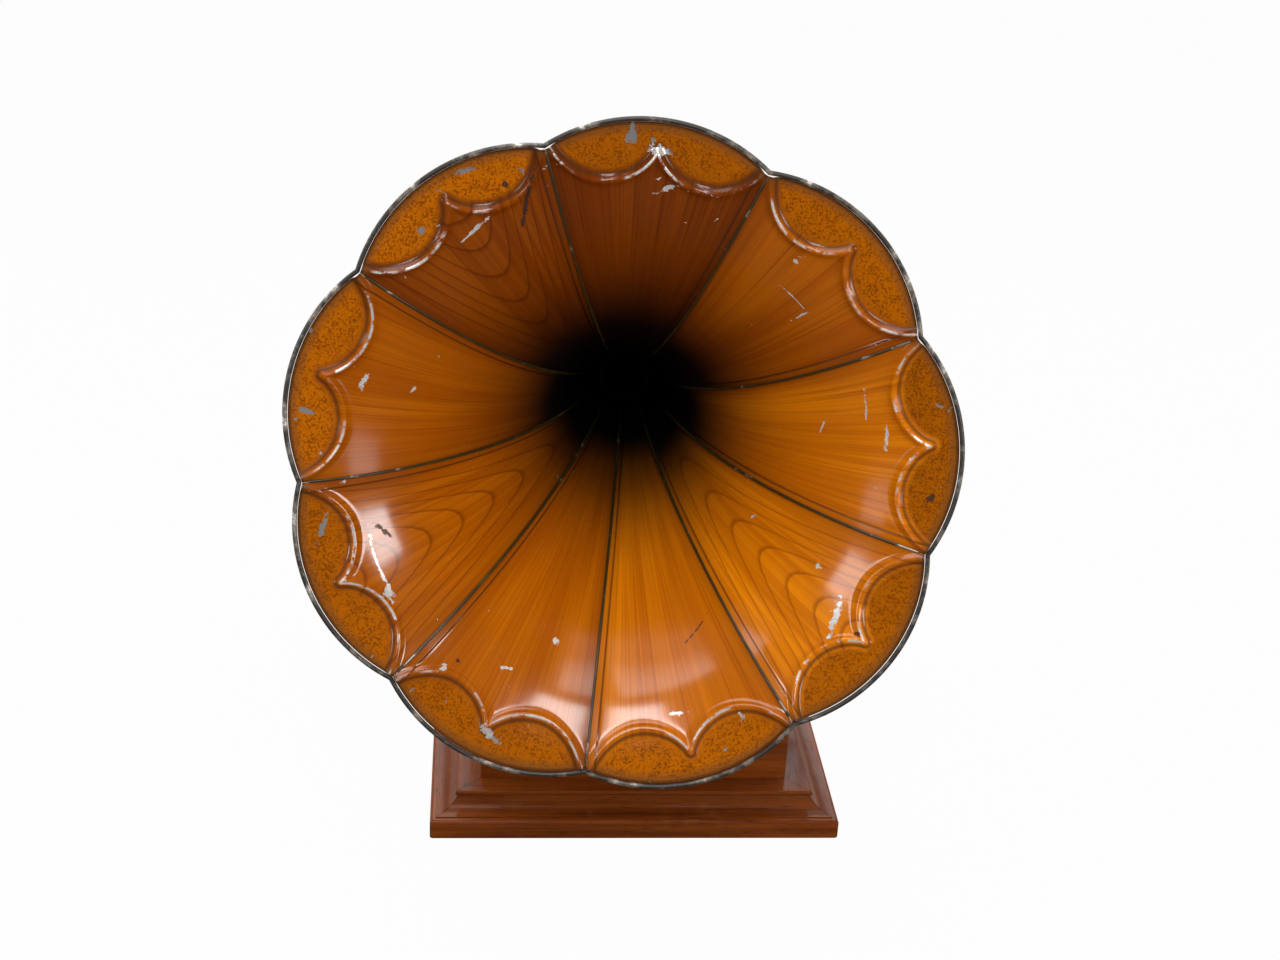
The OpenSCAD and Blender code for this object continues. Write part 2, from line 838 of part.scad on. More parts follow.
module needle_bar() {
    face = back_t + 2*gasket_t + mica_t + lip_t;
    mica = back_t + gasket_t + mica_t;
    bar_w = 3;
    chuck_h = 10;
    chuck_w = 7;
    color("silver") at_box() difference() {
        union() {
            translate([0, 0, mica]) cylinder(h = face + 2*bar_w - mica, r = bar_w/2);
            translate([-bar_w/2, -box_r - 3, face + bar_w]) cube([bar_w, box_r + 3 + bar_w, bar_w]);
            translate([-chuck_w/2, -box_r - chuck_h - gap, face - chuck_w/2])
                cube([chuck_w, chuck_h, chuck_w + bar_w]);
            translate([-chuck_w, 2 - box_r, face]) cube([2*chuck_w, bar_w, bar_w + 1]);
        }
        translate([0, -box_r - chuck_h - 1, face]) rotate([-90, 0, 0])
            cylinder(h = chuck_h, r = needle_r + fit);
        translate([0, -box_r - chuck_h/2, face]) cylinder(h = 2*chuck_w, r = needle_screw_r + fit);
    }
}

module needle() {
    face = back_t + 2*gasket_t + mica_t + lip_t;
    held = 8;
    point = 5;
    shank = needle_reach - box_r - held - point + 6;
    color("dimgray") at_box() translate([0, -needle_reach, face]) rotate([-90, 0, 0]) {
        cylinder(h = point, r1 = needle_r/8, r2 = needle_r);
        translate([0, 0, point]) cylinder(h = shank, r = needle_r);
    }
}

module needle_screw() {
    face = back_t + 2*gasket_t + mica_t + lip_t;
    head_r = 3.2;
    head_t = 3;
    reach = 7.5;
    color("silver") at_box() translate([0, -box_r - 5, face + needle_r + 2*fit]) {
        cylinder(h = reach + head_t, r = needle_screw_r);
        translate([0, 0, reach]) cylinder(h = head_t, r = head_r);
    }
}

// Turntable and its spindle

module at_spindle(z) {
    translate([0, spindle_y, z]) children();
}

module turntable() {
    rim_t = 3;
    hub_out = hub_r - gap*10;
    hub_z = platter_top - platter_t - hub_drop;
    color("dimgray") at_spindle(0) rotate_extrude() {
        translate([spindle_r + fit, platter_top - platter_t])
            square([platter_r - spindle_r - fit, platter_t]);
        translate([platter_r - rim_t, platter_z]) square([rim_t, platter_h]);
        translate([spindle_r + fit, hub_z]) square([hub_out - spindle_r - fit, hub_drop + 1]);
    }
}

module turntable_felt() {
    color("darkgreen") at_spindle(platter_top) difference() {
        cylinder(h = felt_t, r = platter_r - 1);
        translate([0, 0, -1]) cylinder(h = felt_t + 2, r = spindle_r + gap);
    }
}

module spindle() {
    hub_z = platter_top - platter_t - hub_drop;
    top = felt_top + pin_h;
    color("silver") at_spindle(0) {
        translate([0, 0, low_plate_z]) cylinder(h = plate_t + gap, r = journal_r);
        translate([0, 0, low_plate_top + gap]) cylinder(h = hub_z - low_plate_top - gap, r = shaft_r);
        translate([0, 0, hub_z]) cylinder(h = top - hub_z - spindle_r, r = spindle_r);
        translate([0, 0, top - spindle_r]) sphere(spindle_r);
        translate([0, 0, mid_wheel_z - 2]) rotate([0, 0, 90]) gear(pinion_n, gear_m, wheel_t + 4);
        translate([0, 0, worm_z - worm_wheel_t/2]) rotate([0, 0, -90])
            gear(worm_wheel_n, worm_m, worm_wheel_t, 0.6);
    }
}

// A wheel with straight-sided teeth; the first tooth points along +X, thin makes its teeth slimmer
module gear(n, m, t, thin = 1) {
    pitch = 360/n;
    root = m*(n/2 - tooth_down);
    tip = m*(n/2 + tooth_up);
    wide = 0.29*pitch*thin;
    narrow = 0.12*pitch*thin;
    tooth = [[root, -wide], [tip, -narrow], [tip, narrow], [root, wide]];
    linear_extrude(t) polygon([for (i = [0:n - 1], c = tooth)
        [c[0]*cos(i*pitch + c[1]), c[0]*sin(i*pitch + c[1])]]);
}

// Motor: two plates on pillars, hung from the motor board by bolts

module plate_corner_places(inset) {
    for (x = [plate_x0 + inset, plate_x1 - inset], y = [plate_y0 + inset, plate_y1 - inset])
        translate([x, y, 0]) children();
}

module bolt_places() {
    plate_corner_places(2*pillar_inset + 2) translate([0, 0, deck_z]) children();
}

module plate_blank(z) {
    translate([plate_x0, plate_y0, z]) cube([plate_x1 - plate_x0, plate_y1 - plate_y0, plate_t]);
}

// Bores for the spindle, the intermediate arbor and the barrel arbor
module plate_bores(z, spindle_bore) {
    at_spindle(z - 1) cylinder(h = plate_t + 2, r = spindle_bore + fit);
    translate([0, mid_y, z - 1]) cylinder(h = plate_t + 2, r = mid_r + fit);
    translate([barrel_x, mid_y, z - 1]) cylinder(h = plate_t + 2, r = arbor_r + fit);
}

module motor_top_plate() {
    lug_x = barrel_x + crown_pitch_r + wind_w/2 + 5;
    lug_t = 6;
    lug_w = 20;
    lug_z = crank_z - wind_r - 6;
    color("dimgray") difference() {
        union() {
            plate_blank(top_plate_z);
            translate([lug_x, mid_y - lug_w/2, lug_z]) cube([lug_t, lug_w, top_plate_z - lug_z + 1]);
            translate([click_x, click_y, ratchet_z - stud_head_t])
                cylinder(h = top_plate_z - ratchet_z + stud_head_t + 1, r = stud_r);
            translate([click_x, click_y, ratchet_z - stud_head_t])
                cylinder(h = stud_head_t - gap, r = 2*stud_r);
        }
        plate_bores(top_plate_z, shaft_r);
        bolt_places() cylinder(h = 4*deck_t, r = bolt_r + fit, center = true);
        translate([lug_x - 1, mid_y, crank_z]) rotate([0, 90, 0]) cylinder(h = lug_t + 2, r = wind_r + fit);
    }
}

module motor_bottom_plate() {
    color("dimgray") difference() {
        plate_blank(low_plate_z);
        plate_bores(low_plate_z, journal_r);
        plate_corner_places(pillar_inset) translate([0, 0, low_plate_z - 1])
            cylinder(h = plate_t + 2, r = pillar_r/2 + fit);
    }
}

module motor_pillars() {
    rivet_h = 1.5;
    color("silver") plate_corner_places(pillar_inset) {
        translate([0, 0, low_plate_top]) cylinder(h = plate_gap, r = pillar_r);
        translate([0, 0, low_plate_z]) cylinder(h = plate_t, r = pillar_r/2);
        translate([0, 0, low_plate_z - rivet_h]) cylinder(h = rivet_h, r = pillar_r*0.8);
    }
}

module motor_bolts() {
    head_r = 2*bolt_r;
    head_t = 2.4;
    nut_t = 3.5;
    shank = deck_z - top_plate_z + nut_t + 1;
    color("silver") bolt_places() {
        difference() {
            cylinder(h = head_t, r = head_r);
            translate([-0.4, -head_r, head_t/2]) cube([0.8, 2*head_r, head_t]);
        }
        translate([0, 0, -shank]) cylinder(h = shank, r = bolt_r);
        translate([0, 0, top_plate_z - deck_z - nut_t]) cylinder(h = nut_t, r = 2.2*bolt_r, $fn = 6);
    }
}

// Spring barrel: the great wheel is its floor

module at_barrel(z) {
    translate([barrel_x, mid_y, z]) children();
}

module spring_barrel() {
    color("goldenrod") {
        at_barrel(great_z) difference() {
            rotate([0, 0, 180 + 180/great_n]) gear(great_n, gear_m, wheel_t);
            translate([0, 0, -1]) cylinder(h = wheel_t + 2, r = arbor_r + fit);
        }
        at_barrel(barrel_z) difference() {
            cylinder(h = barrel_h, r = barrel_r);
            translate([0, 0, -1]) cylinder(h = barrel_h + 2, r = barrel_r - barrel_wall);
        }
    }
}

module barrel_cover() {
    color("goldenrod") at_barrel(barrel_z + barrel_h) difference() {
        cylinder(h = cover_t, r = barrel_r);
        translate([0, 0, -1]) cylinder(h = cover_t + 2, r = arbor_r + fit);
    }
}

// Spiral strip from near the arbor to the barrel wall
module mainspring() {
    strip = 0.8;
    turns = 7;
    steps = 24*turns;
    r0 = hook_r + 3;
    r1 = barrel_r - barrel_wall - strip - gap;
    side = gap;
    inner = [for (i = [0:steps]) let (r = r0 + (r1 - r0)*i/steps, a = 360*turns*i/steps)
        [r*cos(a), r*sin(a)]];
    outer = [for (i = [steps:-1:0]) let (r = r0 + (r1 - r0)*i/steps + strip, a = 360*turns*i/steps)
        [r*cos(a), r*sin(a)]];
    color("slategray") at_barrel(barrel_z + side)
        linear_extrude(barrel_h - 2*side) polygon(concat(inner, outer));
}

module barrel_arbor() {
    crown_z = crown_pitch_z - crown_m*tooth_down;
    color("silver") {
        at_barrel(low_plate_z) cylinder(h = top_plate_z + plate_t - low_plate_z, r = arbor_r);
        at_barrel(barrel_z + gap) cylinder(h = barrel_h - 2*gap, r = hook_r);
        at_barrel(crown_z) crown_wheel();
        at_barrel(ratchet_z) ratchet_wheel();
    }
}

// Flat wheel with radial teeth on its upper face, its tooth roots at local Z = 0
module crown_wheel() {
    pitch = 360/crown_n;
    h = crown_m*(tooth_down + tooth_up);
    in_r = crown_pitch_r - wind_w/2;
    wide = 0.145*PI*crown_m;
    narrow = 0.05*PI*crown_m;
    translate([0, 0, -crown_body_t]) cylinder(h = crown_body_t, r = crown_pitch_r + wind_w/2);
    for (i = [0:crown_n - 1]) rotate([0, 0, (i + 0.5)*pitch]) translate([in_r, 0, 0]) rotate([90, 0, 90])
        linear_extrude(wind_w)
            polygon([[-wide, -1], [wide, -1], [wide, 0], [narrow, h], [-narrow, h], [-wide, 0]]);
}

module ratchet_wheel() {
    pitch = 360/ratchet_n;
    root = ratchet_r - 2;
    linear_extrude(ratchet_t) polygon([for (i = [0:ratchet_n - 1], c = [[ratchet_r, 0], [root, 0.1]])
        [c[0]*cos(pitch*(i + c[1])), c[0]*sin(pitch*(i + c[1]))]]);
}

module winding_click() {
    hub = 2*stud_r;
    reach = norm([click_x - barrel_x, click_y - mid_y]) - ratchet_r - 2*gap;
    aim = atan2(mid_y - click_y, barrel_x - click_x);
    color("silver") translate([click_x, click_y, ratchet_z]) rotate([0, 0, aim]) difference() {
        union() {
            cylinder(h = ratchet_t, r = hub);
            linear_extrude(ratchet_t) polygon([[0, -hub], [reach, -1], [reach, 1.5], [0, hub]]);
        }
        translate([0, 0, -1]) cylinder(h = ratchet_t + 2, r = stud_r + fit);
    }
}

module intermediate_arbor() {
    color("silver") translate([0, mid_y, 0]) {
        translate([0, 0, low_plate_z]) cylinder(h = top_plate_z + plate_t - low_plate_z, r = mid_r);
        translate([0, 0, great_z - 1]) gear(pinion_n, gear_m, wheel_t + 2);
        translate([0, 0, mid_wheel_z]) rotate([0, 0, -90 + 180/wheel_n]) gear(wheel_n, gear_m, wheel_t);
    }
}

// Governor: pieces lie along X on an axis beside the spindle

module at_governor(x) {
    translate([x, gov_y, worm_z]) rotate([0, 90, 0]) children();
}

module governor_shaft() {
    lead = worm_starts*PI*worm_m;
    root = worm_pitch_r - worm_m*0.9;
    tip = worm_pitch_r + worm_m*0.55;
    arc = 34;
    thread = [for (k = [0:worm_starts - 1], a = [-arc, 0, arc])
        let (b = a + 360*k/worm_starts) [tip*cos(b), tip*sin(b)]];
    color("silver") {
        at_governor(gov_x0) cylinder(h = gov_x1 - gov_x0, r = gov_r);
        at_governor(collar_x) cylinder(h = sleeve_len, r = sleeve_r);
        at_governor(-worm_len/2) rotate([0, 0, -180 - 180*worm_len/lead])
            linear_extrude(worm_len, twist = -360*worm_len/lead, slices = 20) union() {
                circle(root, $fn = 14);
                polygon(concat([[0, 0]], [for (i = [0:2]) thread[i]]));
                polygon(concat([[0, 0]], [for (i = [3:5]) thread[i]]));
            }
    }
}

module governor_spring_places() {
    for (i = [0:weights - 1]) translate([0, gov_y, worm_z]) rotate([360*i/weights + 60, 0, 0])
        translate([0, 0, sleeve_r]) children();
}

module governor_springs() {
    x0 = disc_x + disc_t + 2;
    x1 = collar_x + sleeve_len;
    color("slategray") governor_spring_places()
        translate([x0, -spring_w/2, 0]) cube([x1 - x0, spring_w, spring_t]);
}

module governor_weights() {
    middle = collar_x - weight_r - 4;
    h = 1.4*weight_r;
    color("goldenrod") governor_spring_places() translate([middle, 0, spring_t]) {
        cylinder(h = h/2, r = weight_r);
        translate([0, 0, h/2]) cylinder(h = h/2, r1 = weight_r, r2 = weight_r*0.6);
    }
}

module governor_disc() {
    color("goldenrod") at_governor(disc_x) difference() {
        union() {
            cylinder(h = disc_t, r = disc_r);
            cylinder(h = disc_t + sleeve_len, r = sleeve_r - gap);
        }
        translate([0, 0, -1]) cylinder(h = disc_t + sleeve_len + 2, r = gov_r + fit);
    }
}

module governor_bearings() {
    w = 14;
    color("dimgray") for (x = [gov_x0, gov_x1 - bearing_t]) difference() {
        union() {
            translate([x, gov_y - w/2, low_plate_top]) cube([bearing_t, w, worm_z - low_plate_top]);
            at_governor(x) cylinder(h = bearing_t, r = w/2);
        }
        at_governor(x - 1) cylinder(h = bearing_t + 2, r = gov_r + fit);
    }
}

// Controls on the motor board

module speed_knob() {
    r = 9;
    h = 10;
    rib = 1;
    ribs = 24;
    color("goldenrod") translate([knob_x, knob_y, 0]) {
        translate([0, 0, arm_low]) cylinder(h = deck_z + gap - arm_low, r = stem_r);
        translate([0, 0, deck_z + gap]) difference() {
            cylinder(h = h, r = r);
            for (i = [0:ribs - 1]) rotate([0, 0, 360*i/ribs]) translate([r, 0, 2])
                cylinder(h = h, r = rib/2, $fn = 16);
        }
    }
}

// Arm under the speed knob, with a leather pad that rubs the governor disc
module friction_arm() {
    pad_x = disc_x + disc_t + pad_gap;
    pad_w = 8;
    pad_top = worm_z - sleeve_r - spring_t - 2;
    reach = norm([pad_x + pad_t/2 - knob_x, gov_y - knob_y]);
    aim = atan2(gov_y - knob_y, pad_x + pad_t/2 - knob_x);
    hub = stem_r + 3;
    color("slategray") difference() {
        union() {
            translate([knob_x, knob_y, arm_low]) cylinder(h = arm_thick, r = hub);
            translate([knob_x, knob_y, arm_low]) rotate([0, 0, aim])
                translate([0, -hub/2, 0]) cube([reach, hub, arm_thick]);
            translate([pad_x, gov_y - pad_w/2, arm_low]) cube([pad_t, pad_w, pad_top - arm_low]);
        }
        translate([knob_x, knob_y, arm_low - 1]) cylinder(h = arm_thick + 2, r = stem_r + fit);
    }
}

module brake_lever() {
    hub = 7;
    pad_r = 4;
    plate = 3.5;
    away = [brake_x, brake_y - spindle_y];
    pad_at = norm(away) - platter_r - pad_r - 1.5*gap;
    aim = atan2(away[1], away[0]);
    handle = 30;
    color("silver") translate([brake_x, brake_y, deck_z]) rotate([0, 0, aim]) {
        translate([0, 0, -deck_t]) cylinder(h = deck_t + gap, r = stem_r);
        translate([0, 0, gap]) cylinder(h = plate, r = hub);
        translate([-pad_at, -pad_r, gap]) cube([pad_at, 2*pad_r, plate]);
        translate([-pad_at, 0, gap]) cylinder(h = platter_gap + platter_h - 2, r = pad_r);
        translate([0, -3, gap]) cube([handle, 6, plate]);
        translate([handle, 0, gap]) cylinder(h = 2*plate, r = 5);
    }
}

// Winding gear and crank, along X through the right wall

module at_crank(x) {
    translate([x, mid_y, crank_z]) rotate([0, 90, 0]) children();
}

module winding_shaft() {
    pinion_x = barrel_x + crown_pitch_r - wind_w/2;
    color("silver") {
        at_crank(pinion_x) cylinder(h = crank_x + crank_t - pinion_x, r = wind_r);
        at_crank(pinion_x) gear(wind_n, crown_m, wind_w);
    }
}

module crank_arm() {
    boss_r = 8;
    bar_w = 11;
    color("dimgray") {
        at_crank(crank_x) difference() {
            union() {
                cylinder(h = crank_t, r = crank_hub_r);
                translate([-crank_len, -bar_w/2, 0]) cube([crank_len, bar_w, crank_t]);
                translate([-crank_len, 0, 0]) cylinder(h = crank_t, r = boss_r);
                translate([-crank_len, 0, 0]) cylinder(h = crank_t + knob_len + 4*gap, r = pin_r);
                translate([-crank_len, 0, crank_t + knob_len + 2*gap]) cylinder(h = 2, r = 1.6*pin_r);
            }
            translate([0, 0, -1]) cylinder(h = crank_t + 2, r = wind_r + fit);
        }
    }
}

// Turned wooden grip: a slim waist at the arm, a full belly and a rounded end
module crank_knob() {
    color("saddlebrown") at_crank(crank_x + crank_t + gap) translate([-crank_len, 0, 0]) difference() {
        union() {
            cylinder(h = knob_len*0.12, r = knob_r*0.8);
            translate([0, 0, knob_len*0.12]) cylinder(h = knob_len*0.48, r1 = knob_r*0.7, r2 = knob_r);
            translate([0, 0, knob_len*0.6]) cylinder(h = knob_len*0.25, r = knob_r);
            translate([0, 0, knob_len*0.85]) cylinder(h = knob_len*0.15, r1 = knob_r, r2 = knob_r*0.75);
        }
        translate([0, 0, -1]) cylinder(h = knob_len + 2, r = pin_r + fit);
    }
}

base_rails();
cove_rails();
bottom_board();
case_front();
case_back();
case_left();
case_right();
corner_blocks();
cornice_rails();
motor_board();
wood_screws();
crank_bush();
horn_petal(1);  // horn_petal_1
horn_petal(2);  // horn_petal_2
horn_petal(3);  // horn_petal_3
horn_petal(4);  // horn_petal_4
horn_petal(5);  // horn_petal_5
horn_petal(6);  // horn_petal_6
horn_petal(7);  // horn_petal_7
horn_petal(8);  // horn_petal_8
horn_petal(9);  // horn_petal_9
petal_seams();
rim_wire();
horn_collar();
horn_elbow();
horn_bracket();
thumb_screw();
tone_arm();
gooseneck();
soundbox_back();
soundbox_body();
soundbox_gaskets();
diaphragm();
needle_bar();
needle();
needle_screw();
turntable();
turntable_felt();
spindle();
motor_top_plate();
motor_bottom_plate();
motor_pillars();
motor_bolts();
spring_barrel();
barrel_cover();
mainspring();
barrel_arbor();
winding_click();
intermediate_arbor();
governor_shaft();
governor_springs();
governor_weights();
governor_disc();
governor_bearings();
speed_knob();
friction_arm();
brake_lever();
winding_shaft();
crank_arm();
crank_knob();
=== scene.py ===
"""Table gramophone with an outside horn of nine grained petals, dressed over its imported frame."""
from math import cos, exp, hypot, pi, radians, sin, sqrt

import bmesh
import bpy
from mathutils import Matrix, Vector
from mathutils.kdtree import KDTree


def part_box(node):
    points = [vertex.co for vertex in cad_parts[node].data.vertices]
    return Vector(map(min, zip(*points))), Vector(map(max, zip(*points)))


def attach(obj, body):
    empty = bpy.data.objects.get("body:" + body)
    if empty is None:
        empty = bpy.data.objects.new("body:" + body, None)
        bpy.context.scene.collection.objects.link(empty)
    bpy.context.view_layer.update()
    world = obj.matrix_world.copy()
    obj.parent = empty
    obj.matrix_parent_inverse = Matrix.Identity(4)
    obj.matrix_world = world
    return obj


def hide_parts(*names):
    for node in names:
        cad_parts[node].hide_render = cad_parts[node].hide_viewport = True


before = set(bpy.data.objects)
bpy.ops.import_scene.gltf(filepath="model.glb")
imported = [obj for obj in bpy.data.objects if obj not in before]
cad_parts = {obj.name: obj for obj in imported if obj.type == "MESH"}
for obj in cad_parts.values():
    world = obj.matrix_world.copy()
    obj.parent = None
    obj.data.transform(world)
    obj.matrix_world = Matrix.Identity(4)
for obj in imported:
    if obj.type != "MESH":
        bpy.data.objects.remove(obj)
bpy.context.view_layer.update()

# Studio: the camera stands in front of the horn, a little above it and to the left.
# A large box hangs overhead and a key box stands above the camera; two small ones are mirrored in the
# varnish, three more light the sides and the back, and the ground is white paper.

scene = bpy.context.scene
scene.view_settings.view_transform = "Standard"

camera = bpy.data.objects.new("camera", bpy.data.cameras.new("camera"))
camera.data.sensor_fit = "HORIZONTAL"
camera.data.sensor_width = 36
camera.data.lens = 56.25
look_down, look_right, roll = radians(24.38), radians(5.22), radians(2.97)
camera_at = (-0.1368, -1.5409, 0.9499)
camera.matrix_world = (
    Matrix.Translation(camera_at)
    @ Matrix.Rotation(-look_right, 4, "Z")
    @ Matrix.Rotation(pi / 2 - look_down, 4, "X")
    @ Matrix.Rotation(roll, 4, "Z")
)
scene.collection.objects.link(camera)
scene.camera = camera


def soft_box(name, at, aim, width, height, watts):
    lamp = bpy.data.lights.new(name, "AREA")
    lamp.shape = "RECTANGLE"
    lamp.size, lamp.size_y, lamp.energy = width, height, watts
    box = bpy.data.objects.new(name, lamp)
    facing = (Vector(aim) - Vector(at)).to_track_quat("-Z", "Y")
    box.matrix_world = Matrix.Translation(at) @ facing.to_matrix().to_4x4()
    scene.collection.objects.link(box)


mouth_middle, low_aim, high_aim = (-0.03, -0.33, 0.41), (0, 0, 0.2), (0, 0, 0.3)
soft_box("top_box", (-0.45, -0.25, 2.50), mouth_middle, 2.2, 1.6, 36)
soft_box("key_box", (-0.11, -1.87, 1.97), mouth_middle, 0.65, 0.85, 22)
soft_box("left_shine", (-1.51, -1.39, 0.83), mouth_middle, 0.5, 0.5, 6)
soft_box("right_shine", (1.31, -1.58, 0.78), mouth_middle, 0.62, 0.56, 13)
soft_box("left_box", (-1.9, 0.6, 1.1), low_aim, 1.0, 1.0, 13)
soft_box("right_box", (1.9, 0.6, 1.1), low_aim, 1.0, 1.0, 13)
soft_box("back_box", (0.2, 1.9, 1.5), high_aim, 1.4, 1.0, 13)


def add(tree, kind, inputs=None, **settings):
    """A shader node; inputs gives each named socket a value or another node's output."""
    made = tree.nodes.new(kind)
    for name, value in settings.items():
        setattr(made, name, value)
    for name, value in (inputs or {}).items():
        if isinstance(value, bpy.types.NodeSocket):
            tree.links.new(value, made.inputs[name])
        else:
            made.inputs[name].default_value = value
    return made


def calc(tree, operation, first, second=0.0):
    return add(tree, "ShaderNodeMath", {0: first, 1: second}, operation=operation).outputs[0]


def plus(tree, first, second):
    return calc(tree, "ADD", first, second)


def minus(tree, first, second):
    return calc(tree, "SUBTRACT", first, second)


def times(tree, first, second):
    return calc(tree, "MULTIPLY", first, second)


def larger(tree, first, second):
    return calc(tree, "MAXIMUM", first, second)


def seen_rays(tree):
    """Rays from the camera, and those that a mirror or glass sends on."""
    rays = add(tree, "ShaderNodeLightPath").outputs
    return rays["Is Camera Ray"], larger(tree, rays["Is Glossy Ray"], rays["Is Transmission Ray"])


# White behind the machine, and a darker room behind the camera that the varnish mirrors
white, sky_light, room_light = (1, 1, 1, 1), 0.10, 0.05


def room_behind(tree, coordinates, near, far):
    """How bright the surroundings are along Y: the dark room up to near, white from far on."""
    place = add(tree, "ShaderNodeTexCoord").outputs[coordinates]
    depth = add(tree, "ShaderNodeSeparateXYZ", {0: place}).outputs["Y"]
    return add(tree, "ShaderNodeMapRange", {0: depth, 1: near, 2: far, 3: room_light, 4: 1.0}).outputs[0]


scene.world = bpy.data.worlds.new("studio")
scene.world.use_nodes = True
sky = scene.world.node_tree
sky.nodes.clear()
room = room_behind(sky, "Generated", -0.2, 0.4)
direct, mirrored = seen_rays(sky)
sky_strength = plus(sky, times(sky, minus(sky, room, sky_light), mirrored), sky_light)
sky_strength = larger(sky, sky_strength, direct)
sky_shader = add(sky, "ShaderNodeBackground", {"Color": white, "Strength": sky_strength})
add(sky, "ShaderNodeOutputWorld", {"Surface": sky_shader.outputs[0]})

# The paper is white to the camera and in mirrors, and throws only some of the light back
floor_paper = bpy.data.materials.new("floor_paper")
floor_paper.use_nodes = True
paper = floor_paper.node_tree
paper.nodes.clear()
paper_lit = add(paper, "ShaderNodeBsdfDiffuse", {"Color": (0.4, 0.4, 0.4, 1)})
direct, mirrored = seen_rays(paper)
paper_glow = larger(paper, direct, room_behind(paper, "Object", -0.15, 0.5))
paper_white = add(paper, "ShaderNodeEmission", {"Color": white, "Strength": paper_glow})
paper_seen = larger(paper, times(paper, direct, 0.975), mirrored)
paper_mix = add(paper, "ShaderNodeMixShader", {
    0: paper_seen, 1: paper_lit.outputs[0], 2: paper_white.outputs[0]})
add(paper, "ShaderNodeOutputMaterial", {"Surface": paper_mix.outputs[0]})


def new_piece(name, bm, *materials):
    """An object at the origin that holds the finished bmesh, shaded smooth."""
    mesh = bpy.data.meshes.new(name)
    bm.to_mesh(mesh)
    bm.free()
    mesh.shade_smooth()
    for material in materials:
        mesh.materials.append(material)
    piece = bpy.data.objects.new(name, mesh)
    scene.collection.objects.link(piece)
    return piece


ground = bmesh.new()
bmesh.ops.create_grid(ground, x_segments=4, y_segments=4, size=12)
new_piece("floor", ground, floor_paper)

# Base rails: four mitred boards of mahogany, the widest course of the plinth.
# They are glued at the mitres, rounded on both outer edges and French polished.


def size_of(tree, value):
    return calc(tree, "ABSOLUTE", value)


def mix(tree, factor, first, second):
    return add(tree, "ShaderNodeMix", {0: factor, 6: first, 7: second}, data_type="RGBA").outputs[2]


def ease(tree, value, low, high, from_low=0.0, to_high=1.0):
    """The value's smooth way from low to high, as from_low to to_high."""
    made = add(tree, "ShaderNodeMapRange", {0: value, 1: low, 2: high, 3: from_low, 4: to_high},
               interpolation_type="SMOOTHSTEP")
    return made.outputs[0]


def noise(tree, place, scale, detail=4.0, roughness=0.55, twist=0.0):
    made = add(tree, "ShaderNodeTexNoise", {"Vector": place, "Scale": scale, "Detail": detail,
                                            "Roughness": roughness, "Distortion": twist})
    return made.outputs[0]


def stretched(tree, place, scale, turn=(0, 0, 0)):
    return add(tree, "ShaderNodeMapping", {"Vector": place, "Scale": scale, "Rotation": turn}).outputs[0]


def group_tree(name, inputs, outputs):
    """A node group with the named sockets and nothing between them yet, and its inputs to link from."""
    kinds = {"float": "NodeSocketFloat", "colour": "NodeSocketColor", "vector": "NodeSocketVector"}
    tree = bpy.data.node_groups.new(name, "ShaderNodeTree")
    for socket, kind in inputs.items():
        tree.interface.new_socket(socket, in_out="INPUT", socket_type=kinds[kind])
    for socket, kind in outputs.items():
        tree.interface.new_socket(socket, in_out="OUTPUT", socket_type=kinds[kind])
    return tree, add(tree, "NodeGroupInput").outputs


def finish_group(tree, **results):
    add(tree, "NodeGroupOutput", results)


def use(tree, group, inputs):
    return add(tree, "ShaderNodeGroup", inputs, node_tree=group).outputs


def new_finish(name):
    """A material with an empty tree, and the tree."""
    material = bpy.data.materials.new(name)
    material.use_nodes = True
    material.node_tree.nodes.clear()
    return material, material.node_tree


def surface(tree, height, bump, inputs):
    """Ends a material with a Principled shader whose normal follows the height."""
    relief = add(tree, "ShaderNodeBump", {"Strength": 1.0, "Distance": bump, "Height": height})
    shader = add(tree, "ShaderNodeBsdfPrincipled", {**inputs, "Normal": relief.outputs[0]})
    add(tree, "ShaderNodeOutputMaterial", {"Surface": shader.outputs[0]})


def object_place(tree):
    return add(tree, "ShaderNodeTexCoord").outputs["Object"]


# Wood with its grain along X: broad ribbon stripes, fine streaks and short dark pores
wood_grain, ends = group_tree(
    "wood_grain", {"Place": "vector", "Pale": "colour", "Deep": "colour", "Pore": "colour"},
    {"Colour": "colour", "Height": "float", "Dullness": "float"})
ribbon = noise(wood_grain, stretched(wood_grain, ends["Place"], (2.2, 26, 26)), 1.0, 3.0, 0.5, 0.6)
streak = noise(wood_grain, stretched(wood_grain, ends["Place"], (7, 240, 240)), 1.0, 5.0, 0.65)
pore = noise(wood_grain, stretched(wood_grain, ends["Place"], (60, 1500, 1500)), 1.0, 2.0, 0.5)
pore_mask = ease(wood_grain, pore, 0.60, 0.72)
tone = plus(wood_grain, times(wood_grain, ribbon, 0.75), times(wood_grain, streak, 0.45))
timber = mix(wood_grain, ease(wood_grain, tone, 0.43, 0.78), ends["Deep"], ends["Pale"])
timber = mix(wood_grain, times(wood_grain, pore_mask, 0.75), timber, ends["Pore"])
finish_group(wood_grain, Colour=timber, Dullness=ease(wood_grain, streak, 0.3, 0.8),
             Height=minus(wood_grain, times(wood_grain, streak, 0.35), pore_mask))

